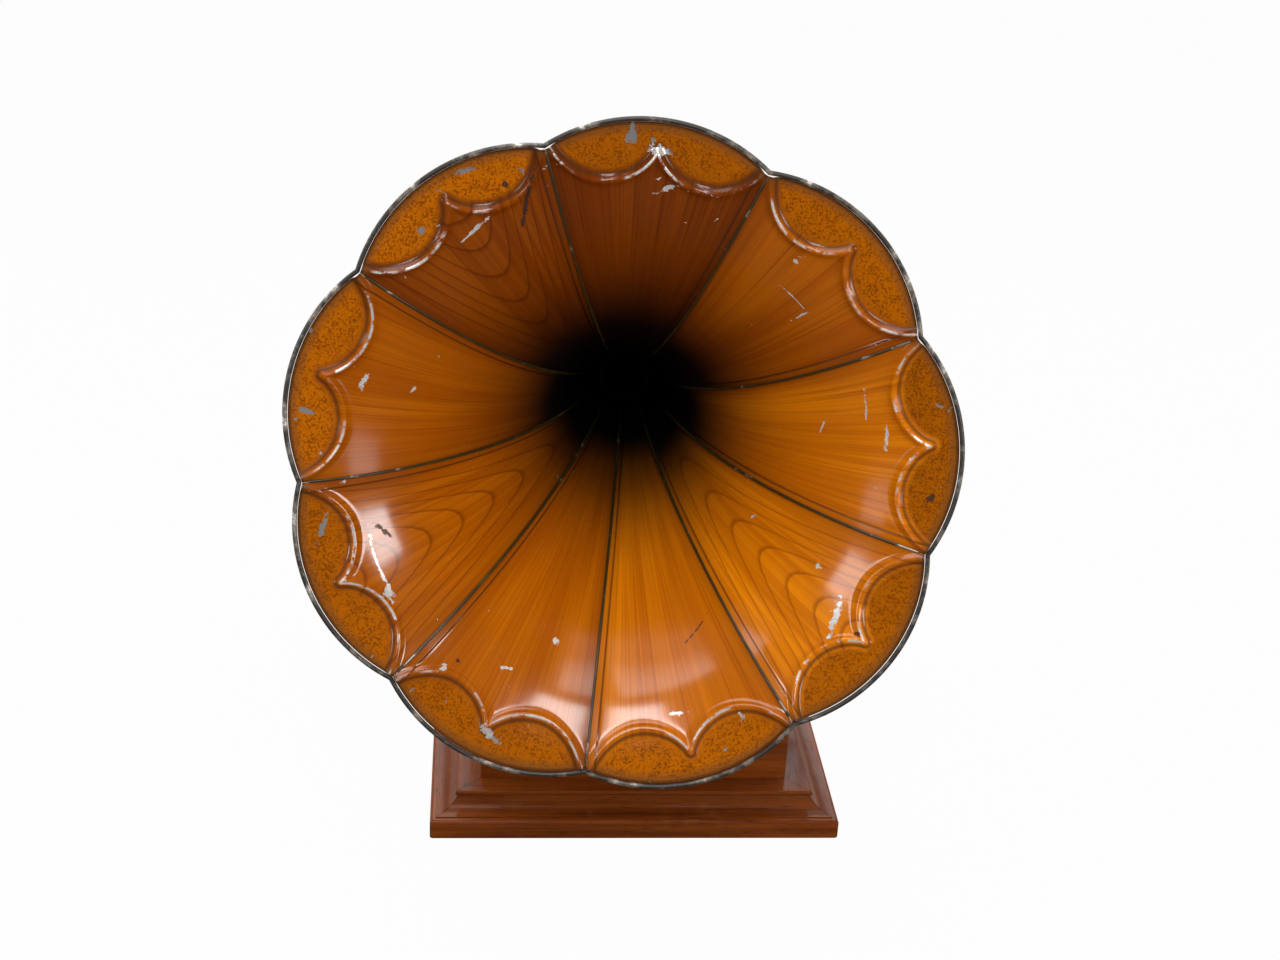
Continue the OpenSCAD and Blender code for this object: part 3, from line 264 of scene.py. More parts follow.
# Handling: rubbed patches, small nicks and smudges, for every finish
handling, ends = group_tree(
    "handling", {"Place": "vector", "Colour": "colour", "Rubbed": "colour", "Amount": "float"},
    {"Colour": "colour", "Smudge": "float"})
patch = noise(handling, ends["Place"], 34.0, 6.0, 0.6)
speck = noise(handling, ends["Place"], 420.0, 3.0, 0.5)
rub_mask = times(handling, ease(handling, patch, 0.56, 0.74), ends["Amount"])
nick_mask = times(handling, ease(handling, speck, 0.70, 0.76), ends["Amount"])
both = larger(handling, rub_mask, nick_mask)
finish_group(handling, Colour=mix(handling, both, ends["Colour"], ends["Rubbed"]),
             Smudge=ease(handling, patch, 0.3, 0.7))


def timber_grain(tree, place, pale, deep, pore):
    return use(tree, wood_grain, {"Place": place, "Pale": pale, "Deep": deep, "Pore": pore})


def handled(tree, place, colour, rubbed, amount):
    return use(tree, handling, {"Place": place, "Colour": colour, "Rubbed": rubbed, "Amount": amount})


def rail_place(tree):
    """Object coordinates with X along the nearest rail of a square frame, and where the mitres are."""
    place = object_place(tree)
    axes = add(tree, "ShaderNodeSeparateXYZ", {0: place}).outputs
    side_rail = calc(tree, "GREATER_THAN", size_of(tree, axes["X"]), size_of(tree, axes["Y"]))
    crossed = add(tree, "ShaderNodeCombineXYZ", {"X": axes["Y"], "Y": axes["X"], "Z": axes["Z"]}).outputs[0]
    made = add(tree, "ShaderNodeMix", {0: side_rail, 4: place, 5: crossed}, data_type="VECTOR")
    across = minus(tree, size_of(tree, axes["X"]), size_of(tree, axes["Y"]))
    mitre = ease(tree, size_of(tree, across), 0.0002, 0.0007, 1.0, 0.0)
    return made.outputs[1], mitre


def toned(colour, tone):
    return tuple(c * tone for c in colour) + (1,)


mahogany_pale, mahogany_deep = (0.330, 0.076, 0.009), (0.125, 0.022, 0.002)
mahogany_pore, mahogany_rubbed = (0.016, 0.004, 0.002, 1), (0.34, 0.12, 0.030, 1)
wax_and_shadow_dark = (0.012, 0.004, 0.002, 1)


def mahogany(name, run, shade=1.0, shadow_heights=()):
    """Polished mahogany; run is the way of the grain: x, y or mitred.

    Dark waxed polish lies in the mitres, and the same dark colour is painted shadow in a line at each of
    the shadow heights. A shade below one darkens the wood, as painted shade.
    """
    material, tree = new_finish(name)
    mitre = 0.0
    if run == "mitred":
        place, mitre = rail_place(tree)
    else:
        quarter = pi / 2 if run == "y" else 0
        place = stretched(tree, object_place(tree), (1, 1, 1), (0, 0, quarter))
    pale, deep = toned(mahogany_pale, shade), toned(mahogany_deep, shade)
    grain = timber_grain(tree, place, pale, deep, mahogany_pore)
    worn = handled(tree, place, grain["Colour"], mahogany_rubbed, 0.25)
    wax_and_shadow = mitre
    height = add(tree, "ShaderNodeSeparateXYZ", {0: place}).outputs["Z"]
    for shadow_height in shadow_heights:
        off = size_of(tree, minus(tree, height, shadow_height))
        wax_and_shadow = larger(tree, wax_and_shadow, ease(tree, off, 0.0002, 0.0009, 0.85, 0.0))
    colour = mix(tree, wax_and_shadow, worn["Colour"], wax_and_shadow_dark)
    rough = plus(tree, times(tree, worn["Smudge"], 0.14), times(tree, grain["Dullness"], 0.08))
    surface(tree, grain["Height"], 0.00012, {
        "Base Color": colour, "Roughness": plus(tree, rough, 0.27), "Specular IOR Level": 0.12,
        "Coat Weight": 0.14, "Coat Roughness": 0.14})
    return material


mitred_mahogany = mahogany("mahogany_mitred", "mitred")
weld_gap, sharp = 0.00002, radians(35)


def dress(material, *nodes, edge=0.0):
    """Gives CAD nodes a finish, joins their loose triangles and softens their sharp edges by a radius."""
    for name in nodes:
        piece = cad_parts[name]
        if not piece.material_slots:
            piece.data.materials.append(material)
        for slot in piece.material_slots:
            slot.material = material
        piece.data.shade_smooth()
        weld = piece.modifiers.new("weld", "WELD")
        weld.merge_threshold = weld_gap
        if edge:
            bevel = piece.modifiers.new("edge", "BEVEL")
            bevel.width, bevel.segments = edge, 2
            bevel.limit_method, bevel.angle_limit = "ANGLE", sharp
            bevel.harden_normals = True
        else:
            split = piece.modifiers.new("crease", "EDGE_SPLIT")
            split.split_angle = sharp


dress(mitred_mahogany, "base_rails", edge=0.0012)

# Cove rails: a run of moulding on the base, a hollow below and a bead above.
# Cut from mahogany, mitred at the corners and glued on the base rails.

# The cove's mahogany is darkened as painted shade of the horn above it, and a painted shadow line runs
# under the bead.
cove_shadow_tone, bead_shadow_at = 0.74, 0.0290
dress(mahogany("mahogany_cove_shaded", "mitred", cove_shadow_tone, (bead_shadow_at,)), "cove_rails")

# Case walls: four mahogany boards that stand on the cove and hold the motor.
# Front and back run through, the sides are let in between, and all are polished.

dress(mahogany("mahogany_along", "x"), "case_front", "case_back", edge=0.0006)
dress(mahogany("mahogany_aside", "y"), "case_left", "case_right", edge=0.0006)

# Bottom board and glue blocks: plain pine, sawn and left bare, hidden inside the case.
# The board lies inside the base rails, and a block is glued into each corner of the walls.

pine, tree = new_finish("bare_pine")
place = object_place(tree)
grain = timber_grain(tree, place, (0.62, 0.42, 0.22, 1), (0.42, 0.24, 0.10, 1), (0.25, 0.13, 0.05, 1))
worn = handled(tree, place, grain["Colour"], (0.30, 0.20, 0.11, 1), 0.4)
surface(tree, grain["Height"], 0.0002, {
    "Base Color": worn["Colour"], "Roughness": plus(tree, times(tree, worn["Smudge"], 0.2), 0.6)})
dress(pine, "bottom_board", "corner_blocks", edge=0.0008)

# Cornice and motor board: a hollow moulding carries the board with a round nose.
# The board is screwed down through the moulding, and the motor hangs under it.

dress(mitred_mahogany, "cornice_rails")
dress(mahogany("mahogany_board", "x"), "motor_board")

# Wood screws and crank bush: turned brass, lacquered once and now browned.
# Round-headed screws hold the motor board and the bracket; the bush lines the crank hole.


def bare_metal(name, colour, tarnish, rough, marks=0.5):
    """Turned or drawn metal with tarnish in patches and fine scratches."""
    material, tree = new_finish(name)
    place = object_place(tree)
    worn = handled(tree, place, colour, tarnish, marks)
    scratch = noise(tree, stretched(tree, place, (900, 900, 60), (0.4, 0.2, 0.7)), 1.0, 2.0)
    rougher = times(tree, worn["Smudge"], 0.16)
    surface(tree, scratch, 0.00003, {
        "Base Color": worn["Colour"], "Metallic": 1.0, "Roughness": plus(tree, rougher, rough)})
    return material


brass = bare_metal("brass", (0.58, 0.37, 0.14, 1), (0.24, 0.13, 0.045, 1), 0.27, 0.7)
dress(brass, "wood_screws", "crank_bush", edge=0.0002)

# Motor frame: two iron plates on four steel pillars, hung under the board by bolts.
# The plates are cast, blackened and drilled for the arbors.


def black_enamel(name, chips):
    """Stoved black paint on iron, rubbed, and chipped at random."""
    material, tree = new_finish(name)
    place = object_place(tree)
    worn = handled(tree, place, (0.012, 0.011, 0.010, 1), (0.045, 0.038, 0.030, 1), 0.5)
    chip = ease(tree, noise(tree, place, 130.0, 5.0, 0.62), 0.66, 0.69)
    chip = times(tree, chip, chips)
    orange_peel = noise(tree, place, 700.0, 2.0)
    height = minus(tree, times(tree, orange_peel, 0.15), chip)
    rough = plus(tree, times(tree, worn["Smudge"], 0.18), times(tree, chip, 0.25))
    surface(tree, height, 0.0001, {
        "Base Color": mix(tree, chip, worn["Colour"], (0.11, 0.085, 0.065, 1)),
        "Metallic": times(tree, chip, 0.7), "Roughness": plus(tree, rough, 0.26),
        "Coat Weight": 0.12, "Specular IOR Level": 0.25})
    return material


iron = black_enamel("blackened_iron", 0.9)
steel = bare_metal("steel", (0.52, 0.52, 0.51, 1), (0.20, 0.16, 0.12, 1), 0.26, 0.6)
dress(iron, "motor_top_plate", "motor_bottom_plate", edge=0.0006)
dress(steel, "motor_pillars", "motor_bolts", edge=0.0003)

# Spring barrel and winding gear: the great wheel is the barrel's floor, the cover is pressed on.
# The mainspring is a blued strip; the arbor carries the crown wheel and the ratchet.

dress(brass, "spring_barrel", "barrel_cover")
dress(bare_metal("blued_spring", (0.16, 0.19, 0.26, 1), (0.10, 0.08, 0.07, 1), 0.3), "mainspring")
dress(steel, "barrel_arbor", "winding_click", "winding_shaft")

# Train and governor: a steel arbor steps the speed up to the worm shaft.
# Three brass weights on strip springs draw a brass disc along the shaft against a leather pad.

dress(steel, "intermediate_arbor", "spindle", "governor_shaft", "governor_springs")
dress(brass, "governor_weights", "governor_disc", edge=0.0003)
dress(iron, "governor_bearings", "friction_arm", edge=0.0004)

# Turntable: a pressed iron plate with a turned-down rim and a hub, painted black.
# The felt is a disc of green baize glued on the plate.

dress(black_enamel("turntable_paint", 0.6), "turntable", edge=0.0008)

baize, tree = new_finish("green_baize")
place = object_place(tree)
nap = noise(tree, place, 1900.0, 4.0, 0.7)
worn_ring = noise(tree, place, 24.0, 4.0)
green = mix(tree, ease(tree, nap, 0.25, 0.75), (0.012, 0.045, 0.020, 1), (0.035, 0.105, 0.050, 1))
green = mix(tree, ease(tree, worn_ring, 0.5, 0.8, 0.0, 0.5), green, (0.085, 0.110, 0.055, 1))
surface(tree, nap, 0.0006, {
    "Base Color": green, "Roughness": 0.95, "Sheen Weight": 0.12, "Sheen Roughness": 0.6,
    "Specular IOR Level": 0.1})
dress(baize, "turntable_felt", edge=0.0005)

# Controls on the board: a knurled brass knob turns the friction arm on its stem and so sets the speed.
# The brake is a nickelled lever on a stem of its own, with a pad that bears on the turntable's rim.

nickel = bare_metal("nickel", (0.53, 0.51, 0.46, 1), (0.26, 0.21, 0.14, 1), 0.20, 0.6)
dress(brass, "speed_knob", edge=0.0002)
dress(nickel, "brake_lever", edge=0.0004)

# Tone arm and gooseneck: tapered and bent brass tube, nickelled, hung from the bracket ring.
# The gooseneck turns back so that the needle can be changed.

dress(nickel, "tone_arm", "gooseneck")

# Sound box: a nickelled body and back hold the mica diaphragm between two rubber rings.
# The needle bar rocks on the body and its foot is screwed to the middle of the mica.

dress(nickel, "soundbox_back", "soundbox_body", edge=0.0006)
dress(nickel, "needle_bar", "needle_screw", edge=0.0002)
dress(steel, "needle")

rubber, tree = new_finish("red_rubber")
place = object_place(tree)
worn = handled(tree, place, (0.16, 0.035, 0.022, 1), (0.26, 0.11, 0.08, 1), 0.6)
surface(tree, noise(tree, place, 900.0), 0.0001, {"Base Color": worn["Colour"], "Roughness": 0.7})
dress(rubber, "soundbox_gaskets")

mica, tree = new_finish("mica_sheet")
place = object_place(tree)
flake = noise(tree, place, 160.0, 5.0, 0.6)
pale = mix(tree, ease(tree, flake, 0.35, 0.75), (0.62, 0.56, 0.44, 1), (0.80, 0.77, 0.68, 1))
surface(tree, flake, 0.00004, {
    "Base Color": pale, "Roughness": ease(tree, flake, 0.3, 0.8, 0.10, 0.26), "Alpha": 0.82,
    "Coat Weight": 0.6})
dress(mica, "diaphragm")

# Bracket, elbow and collar: cast iron arm in black stoved paint, screwed to the back of the case.
# The elbow turns in its ring under a brass thumb screw, and a brass collar joins the horn.

dress(black_enamel("bracket_paint", 1.0), "horn_bracket", edge=0.0012)
dress(black_enamel("elbow_paint", 0.8), "horn_elbow")
dress(brass, "horn_collar", "thumb_screw", edge=0.0003)

# Crank: an iron arm in black paint, fixed on the end of the winding shaft outside the right wall.
# Its grip is turned from mahogany and runs free on a headed pin.

dress(black_enamel("crank_paint", 1.0), "crank_arm", edge=0.0008)
dress(mahogany("turned_grip", "x"), "crank_knob")

# Horn petals: nine leaves of tinplate, raised along a trumpet curve and embossed with twin arches.
# Each is grained by comb and brush over an amber ground to look like oak, sponged outside the arches
# and varnished. Their edges are hooked together in the seams.

throat_r, neck_r, flare_r, mouth_r = 0.022, 0.040, 0.110, 0.225
neck_len, lip_len, horn_len = 0.300, 0.020, 0.462
scallop, tin_t = 0.055, 0.0008
petals, petal_turn = 9, radians(6)
petal_half = pi / petals
pivot_y, swivel_aim, turn = 0.170, radians(4.5), radians(76)
elbow_bend, socket_len, elbow_flange = 0.052, 0.014, 0.0043
elbow_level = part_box("horn_bracket")[1].z + elbow_flange
throat_y = -elbow_bend * (1 - cos(turn)) - socket_len * sin(turn)
throat_z = elbow_level + elbow_bend * sin(turn) + socket_len * cos(turn)
horn_place = (Matrix.Translation((0, pivot_y, 0)) @ Matrix.Rotation(-swivel_aim, 4, "Z")
              @ Matrix.Translation((0, throat_y, throat_z)) @ Matrix.Rotation(turn, 4, "X"))


def bezier(a, b, c, d, s):
    return a * (1 - s)**3 + 3 * b * s * (1 - s)**2 + 3 * c * s * s * (1 - s) + d * s**3


def bezier_slope(a, b, c, d, s):
    return 3 * ((b - a) * (1 - s)**2 + 2 * (c - b) * s * (1 - s) + (d - c) * s * s)


def trumpet(s, u, lift=0.0):
    """Radius and axial place at share s of the curve and u across a petal, lifted off the inner face."""
    reach = bezier_slope(0, neck_len, horn_len - lip_len, horn_len, s)
    spread = bezier_slope(throat_r, neck_r, flare_r, mouth_r, s)
    size = hypot(reach, spread)
    radius = bezier(throat_r, neck_r, flare_r, mouth_r, s) * (1 - scallop * s**3 * u * u)
    depth = bezier(0, neck_len, horn_len - lip_len, horn_len, s)
    return radius + lift * reach / size, depth - lift * spread / size


def smooth(x):
    x = min(max(x, 0), 1)
    return x * x * (3 - 2 * x)


# Twin arches: the lowest place of each, the point between them and the ends at the seams
arch_middle, arch_end_at = radians(9.4), radians(19.2)
arch_low, arch_point, arch_end = 0.831, 0.917, 0.946
arch_steep = 0.96


def arch_line(angle):
    """Radius of the embossed line at an angle from the middle of the petal."""
    off = abs(angle) - arch_middle
    if off < 0:
        half, rise = arch_middle, arch_point - arch_low
    else:
        half, rise = arch_end_at - arch_middle, arch_end - arch_low
    x = arch_steep * min(1, abs(off) / half)
    return mouth_r * (arch_low + rise * (1 - sqrt(1 - x * x)) / (1 - sqrt(1 - arch_steep**2)))


arch_steps = 800
arch_points = KDTree(arch_steps + 1)
for i in range(arch_steps + 1):
    angle = arch_end_at * (2 * i / arch_steps - 1)
    arch_points.insert((arch_line(angle) * sin(angle), arch_line(angle) * cos(angle), 0), i)
arch_points.balance()

curve_steps = 240
curve_length = [0.0]
for i in range(curve_steps):
    (r0, t0), (r1, t1) = trumpet(i / curve_steps, 0), trumpet((i + 1) / curve_steps, 0)
    curve_length.append(curve_length[-1] + hypot(r1 - r0, t1 - t0))

# Sizes of the embossing and of the lap along one edge, and how the points of a sheet are shared out
bead_h, bead_half, panel_depth, panel_edge = 0.0036, 0.0027, 0.0012, 0.004
lap_w, lap_narrow, lap_h, lap_step, lap_share = 0.0065, 0.45, 0.0007, 0.0008, 0.14
sheet_across, sheet_along, rim_crowding = 120, 140, 1.8
petal_marks = ("across", "along", "bead", "lap", "rim")


def petal_sheet(k):
    """One petal's sheet, with where each point lies on the petal kept for its paint."""
    bm = bmesh.new()
    bmesh.ops.create_grid(bm, x_segments=sheet_across, y_segments=sheet_along, size=1)
    bmesh.ops.reverse_faces(bm, faces=bm.faces)
    across, along, bead, lap, rim = (bm.verts.layers.float.new(mark) for mark in petal_marks)
    for v in bm.verts:
        s = 1 - (1 - (v.co.y + 1) / 2)**rim_crowding
        plain_r = trumpet(s, 0)[0]
        strip = lap_w * (lap_narrow + (1 - lap_narrow) * plain_r / mouth_r)
        strip_u = strip / (plain_r * petal_half)
        side = (v.co.x + 1) / 2
        if side < lap_share:
            u = -1 + strip_u * side / lap_share
        else:
            u = -1 + strip_u + (2 - strip_u) * (side - lap_share) / (1 - lap_share)
        angle = u * petal_half
        r = trumpet(s, u)[0]
        off = arch_points.find((r * sin(angle), r * cos(angle), 0))[2]
        outside = r > arch_line(angle) and abs(angle) < arch_end_at
        v[across], v[bead] = u, off if outside else -off
        v[along] = curve_length[round(s * curve_steps)]
        v[rim] = curve_length[-1] - v[along]
        v[lap] = (u + 1) * petal_half * r - strip
        lift = panel_depth * smooth(v[bead] / panel_edge) - bead_h * exp(-(v[bead] / bead_half)**2)
        lift -= lap_h * (1 - smooth(v[lap] / lap_step + 0.5)) * smooth(s / 0.2)
        r, t = trumpet(s, u, lift)
        v.co = (r * cos(angle), r * sin(angle), t)
    bm.transform(horn_place @ Matrix.Rotation(petal_turn + 2 * petal_half * (k - 1), 4, "Z"))
    return bm


def attribute(tree, name):
    return add(tree, "ShaderNodeAttribute", attribute_name=name).outputs["Fac"]


def spread_place(tree, x, y, x_scale, y_scale, seed):
    """Two values along a petal as a place for a texture."""
    return add(tree, "ShaderNodeCombineXYZ", {
        "X": times(tree, x, x_scale), "Y": times(tree, y, y_scale), "Z": seed}).outputs[0]


amber_pale, amber_deep, comb_and_shade_brown = (0.60, 0.180, 0.002), (0.43, 0.108, 0.001), (0.20, 0.040, 0.001)
sponge_ground, sponge_brown = (0.33, 0.086, 0.001), (0.13, 0.027, 0.002, 1)
border_and_shade_brown, foot_shade_and_line_colour, painted_neck_shade = (0.16, 0.058, 0.014, 1), (0.05, 0.018, 0.006, 1), (0.004, 0.002, 0.001, 1)
bare_tin, dull_tin = (0.74, 0.71, 0.66, 1), (0.25, 0.24, 0.23, 1)
bare_primer = (0.030, 0.022, 0.018, 1)

# A knock: a ragged place where the paint has gone, with its own length, width and turn
raggedness, bare_within, painted_from = 3.6, 2.55, 2.75
knock, ends = group_tree(
    "knock", {"Across": "float", "Along": "float", "Ragged": "float", "Spread": "float", "Middle": "vector",
              "Turn": "float", "Half length": "float", "Half width": "float"}, {"Bare": "float"})
spread = times(knock, ends["Across"], ends["Spread"])
spot = add(knock, "ShaderNodeCombineXYZ", {"X": spread, "Y": ends["Along"]}).outputs[0]
spot = add(
    knock, "ShaderNodeVectorRotate", {"Vector": spot, "Center": ends["Middle"], "Angle": ends["Turn"]},
    rotation_type="Z_AXIS", invert=True).outputs[0]
spot = add(knock, "ShaderNodeVectorMath", {0: spot, 1: ends["Middle"]}, operation="SUBTRACT").outputs[0]
sides = add(knock, "ShaderNodeSeparateXYZ", {0: spot}).outputs
long_way = calc(knock, "DIVIDE", sides["X"], ends["Half length"])
short_way = calc(knock, "DIVIDE", sides["Y"], ends["Half width"])
reach = plus(knock, times(knock, long_way, long_way), times(knock, short_way, short_way))
reach = plus(knock, calc(knock, "SQRT", reach), times(knock, ends["Ragged"], raggedness))
finish_group(knock, Bare=ease(knock, reach, bare_within, painted_from, 1.0, 0.0))

# Each knock: petal, share across, distance from the throat, half length, half width and turn in degrees
tin_knocks = (
    (1, 0.22, 0.440, 0.006, 0.0011, 40), (1, 0.10, 0.490, 0.010, 0.0016, 8),
    (1, 0.45, 0.479, 0.011, 0.0008, 15), (2, 0.0, 0.465, 0.012, 0.0005, -3),
    (2, -0.24, 0.460, 0.0008, 0.007, 4), (3, -0.15, 0.496, 0.009, 0.0017, -35),
    (3, 0.24, 0.530, 0.004, 0.008, 8), (3, -0.02, 0.521, 0.008, 0.003, 5),
    (4, -0.05, 0.493, 0.012, 0.0014, -12), (4, 0.35, 0.516, 0.003, 0.0025, 0),
    (4, -0.29, 0.532, 0.006, 0.002, 10), (5, -0.02, 0.491, 0.008, 0.0022, 6),
    (5, -0.05, 0.452, 0.003, 0.0015, 30), (5, 0.35, 0.526, 0.002, 0.006, 12),
    (6, 0.0, 0.491, 0.021, 0.0016, 4), (6, 0.32, 0.494, 0.007, 0.0030, 15),
    (6, -0.55, 0.521, 0.009, 0.0022, 25), (7, 0.39, 0.443, 0.003, 0.0022, 20),
    (7, -0.10, 0.476, 0.006, 0.0014, -25), (7, 0.06, 0.522, 0.009, 0.003, 20),
    (8, -0.04, 0.492, 0.007, 0.0020, 8), (9, 0.04, 0.492, 0.013, 0.0030, -20),
    (9, -0.19, 0.499, 0.004, 0.0025, 0), (9, 0.36, 0.462, 0.002, 0.002, 0))
dark_knocks = (
    (1, -0.5, 0.524, 0.0035, 0.0022, 30), (4, -0.68, 0.499, 0.025, 0.0016, -63),
    (4, -0.54, 0.514, 0.003, 0.0025, 0), (6, -0.32, 0.479, 0.008, 0.0018, -35),
    (7, -0.61, 0.492, 0.0022, 0.0018, 0), (8, 0.48, 0.436, 0.014, 0.0008, -34),
    (9, 0.02, 0.512, 0.0025, 0.002, 0))

# A petal's width grows with this power of the distance from the throat
petal_flare = 2.1


def knocked(tree, rows, k, across, along, ragged):
    """Where any of petal k's knocks has taken the paint off, or None if it has none."""
    bare = None
    for petal_no, share, distance, half_length, half_width, turned in rows:
        if petal_no == k:
            wide = petal_half * mouth_r * (distance / curve_length[-1])**petal_flare
            one = use(tree, knock, {
                "Across": across, "Along": along, "Ragged": ragged, "Spread": wide,
                "Middle": (share * wide, distance, 0), "Turn": radians(turned),
                "Half length": half_length, "Half width": half_width})["Bare"]
            bare = larger(tree, bare, one) if bare else one
    return bare


def shaded_tone(colour, tone):
    """The amber at the petal's tone, which is partly painted shade; green falls faster, so the darker,
    shaded petals are redder.
    """
    return colour[0] * tone, colour[1] * 0.93 * tone**1.3, colour[2] * tone, 1


def grained_tin(k, arched, tone, panel_tone_and_light, shade_begins, shade_ends, gloss):
    """Amber graining on tin: combed lines, or nested arches as in wood sawn flat."""
    material, tree = new_finish(f"petal_paint_{k}")
    place = object_place(tree)
    across, along, bead, lap, rim = (attribute(tree, mark) for mark in petal_marks)
    seed = 7.3 * k
    # Combed lines, and on some petals arches, over an amber ground, with painted shade darkening it towards
    # the seams
    broad = noise(tree, spread_place(tree, across, along, 2.4, 4.0, seed), 1.0, 3.0, 0.5)
    comb = noise(tree, spread_place(tree, across, along, 20.0, 3.0, seed), 1.0, 2.0, 0.5, 0.1)
    fine = noise(tree, spread_place(tree, across, along, 76.0, 5.0, seed), 1.0, 2.0, 0.6)
    shade = plus(tree, times(tree, broad, 0.55), times(tree, comb, 0.45))
    ground = mix(tree, ease(tree, shade, 0.38, 0.64), shaded_tone(amber_deep, tone), shaded_tone(amber_pale, tone))
    lines = ease(tree, fine, 0.50, 0.66, 0.0, 0.42)
    lines = larger(tree, lines, ease(tree, comb, 0.56, 0.72, 0.0, 0.34))
    if arched:
        wander = noise(tree, spread_place(tree, across, along, 0.9, 3.0, seed), 1.0, 1.0)
        bow = times(tree, calc(tree, "POWER", size_of(tree, across), 2.2), 0.36)
        ring = plus(tree, minus(tree, along, bow), times(tree, wander, 0.03))
        ring = times(tree, calc(tree, "POWER", larger(tree, ring, 0.05), 3.0), 50.0)
        ring = calc(tree, "FRACT", ring)
        late = times(tree, ease(tree, ring, 0.80, 0.94), ease(tree, ring, 0.95, 1.0, 1.0, 0.0))
        ring_line = plus(tree, times(tree, late, 0.52), ease(tree, ring, 0.25, 0.93, 0.0, 0.14))
        lines = larger(tree, times(tree, lines, 0.28), ring_line)
    paint = mix(tree, lines, ground, shaded_tone(comb_and_shade_brown, tone))
    seam_shade = ease(tree, size_of(tree, across), 0.66, 1.0, 0.0, 0.45)
    paint = mix(tree, seam_shade, paint, shaded_tone(comb_and_shade_brown, tone))
    # Sponged panel outside the arches, inside a plain border at the rim; the same brown is painted shade on
    # the panel beside the bead
    sponge = noise(tree, place, 640.0, 3.0, 0.65)
    panel = ease(tree, bead, 0.0045, 0.0080)
    # The panel's ground is toned petal by petal, as painted light and shade.
    paint = mix(tree, times(tree, panel, 0.85), paint, toned(sponge_ground, panel_tone_and_light))
    dabs = times(tree, minus(tree, noise(tree, place, 120.0, 2.0), 0.5), 0.26)
    blot = ease(tree, plus(tree, sponge, dabs), 0.46, 0.61, 0.0, 0.72)
    paint = mix(tree, times(tree, panel, blot), paint, sponge_brown)
    by_rim = ease(tree, rim, 0.002, 0.010, 0.65, 0.0)
    bead_side_shade = times(tree, ease(tree, bead, 0.0040, 0.0085, 0.25, 0.0), ease(tree, bead, 0.0020, 0.0030))
    paint = mix(tree, larger(tree, by_rim, bead_side_shade), paint, border_and_shade_brown)
    # Painted shade along the foot of the bead, and darker lines along the lap of the seam and next to the
    # roll of the rim
    foot = times(tree, ease(tree, bead, 0.0018, 0.0028), ease(tree, bead, 0.0036, 0.0052, 1.0, 0.0))
    lap_line = ease(tree, size_of(tree, lap), 0.0002, 0.0011, 0.7, 0.0)
    rolled = ease(tree, rim, 0.0006, 0.0026, 0.85, 0.0)
    shade_and_dark_lines = larger(tree, larger(tree, times(tree, foot, 0.55), lap_line), rolled)
    paint = mix(tree, shade_and_dark_lines, paint, foot_shade_and_line_colour)
    # Paint worn off the crest of the bead and the rim, and knocked off in places
    rub = noise(tree, place, 95.0, 5.0, 0.65)
    on_crest = ease(tree, size_of(tree, minus(tree, bead, 0.0004)), 0.0003, 0.0011, 1.0, 0.0)
    run = ease(tree, noise(tree, place, 26.0, 2.0), 0.47, 0.58)
    crest = times(tree, on_crest, times(tree, run, ease(tree, rub, 0.44, 0.53)))
    chip = noise(tree, place, 85.0, 5.0, 0.55, 0.5)
    likely = ease(tree, rim, 0.02, 0.11, 0.045, 0.0)
    loose = ease(tree, plus(tree, chip, likely), 0.740, 0.750)
    bare = larger(tree, crest, loose)
    ragged = noise(tree, place, 300.0, 5.0, 0.66)
    bare = larger(tree, bare, knocked(tree, tin_knocks, k, across, along, ragged))
    grey = mix(tree, panel, bare_tin, dull_tin)
    grey = mix(tree, ease(tree, sponge, 0.3, 0.6, 0.45, 0.0), grey, dull_tin)
    paint = mix(tree, bare, paint, grey)
    dark = knocked(tree, dark_knocks, k, across, along, ragged)
    if dark:
        paint = mix(tree, times(tree, dark, 0.85), paint, bare_primer)
    # Painted shade darkens the neck, deep in the horn where little light reaches
    neck = ease(tree, along, shade_begins, shade_ends, 1.0, 0.0)
    paint = mix(tree, neck, paint, painted_neck_shade)
    # Varnish: glossy below the arches, dull in the panel and towards the neck, gone where the paint is
    smudge = noise(tree, place, 30.0, 4.0)
    rough = plus(tree, ease(tree, smudge, 0.3, 0.7, 0.17, 0.28), times(tree, panel, 0.14))
    rough = plus(tree, rough, times(tree, neck, 0.4))
    varnish = times(tree, ease(tree, rim, 0.066, 0.092, gloss, 0.04), minus(tree, 1.0, bare))
    varnish = times(tree, varnish, ease(tree, bead, 0.002, 0.006, 1.0, 0.05))
    if dark:
        varnish = times(tree, varnish, minus(tree, 1.0, dark))
    height = minus(tree, times(tree, fine, 0.2), bare)
    height = plus(tree, height, times(tree, times(tree, sponge, panel), 0.6))
    surface(tree, height, 0.00012, {
        "Base Color": paint, "Roughness": rough, "Metallic": times(tree, bare, 0.35),
        "Specular IOR Level": ease(tree, bead, 0.002, 0.006, 0.1, 0.02),
        "Coat Weight": varnish, "Coat Roughness": 0.13})
    return material


# The outside of the horn has the same amber, put on thinner and with less care
horn_back, tree = new_finish("horn_back_paint")
place = object_place(tree)
across, along = attribute(tree, "across"), attribute(tree, "along")
comb = noise(tree, spread_place(tree, across, along, 30.0, 7.0, 0.5), 1.0, 5.0, 0.6)
ground = mix(tree, ease(tree, comb, 0.3, 0.7), (0.20, 0.050, 0.003, 1), (0.38, 0.112, 0.005, 1))
worn = handled(tree, place, ground, (0.16, 0.060, 0.015, 1), 0.6)
chip = ease(tree, noise(tree, place, 90.0, 6.0, 0.55), 0.715, 0.725)
surface(tree, minus(tree, times(tree, comb, 0.2), chip), 0.0001, {
    "Base Color": mix(tree, chip, worn["Colour"], bare_tin), "Metallic": times(tree, chip, 0.7),
    "Roughness": plus(tree, times(tree, worn["Smudge"], 0.2), 0.3), "Specular IOR Level": 0.2,
    "Coat Weight": 0.1})
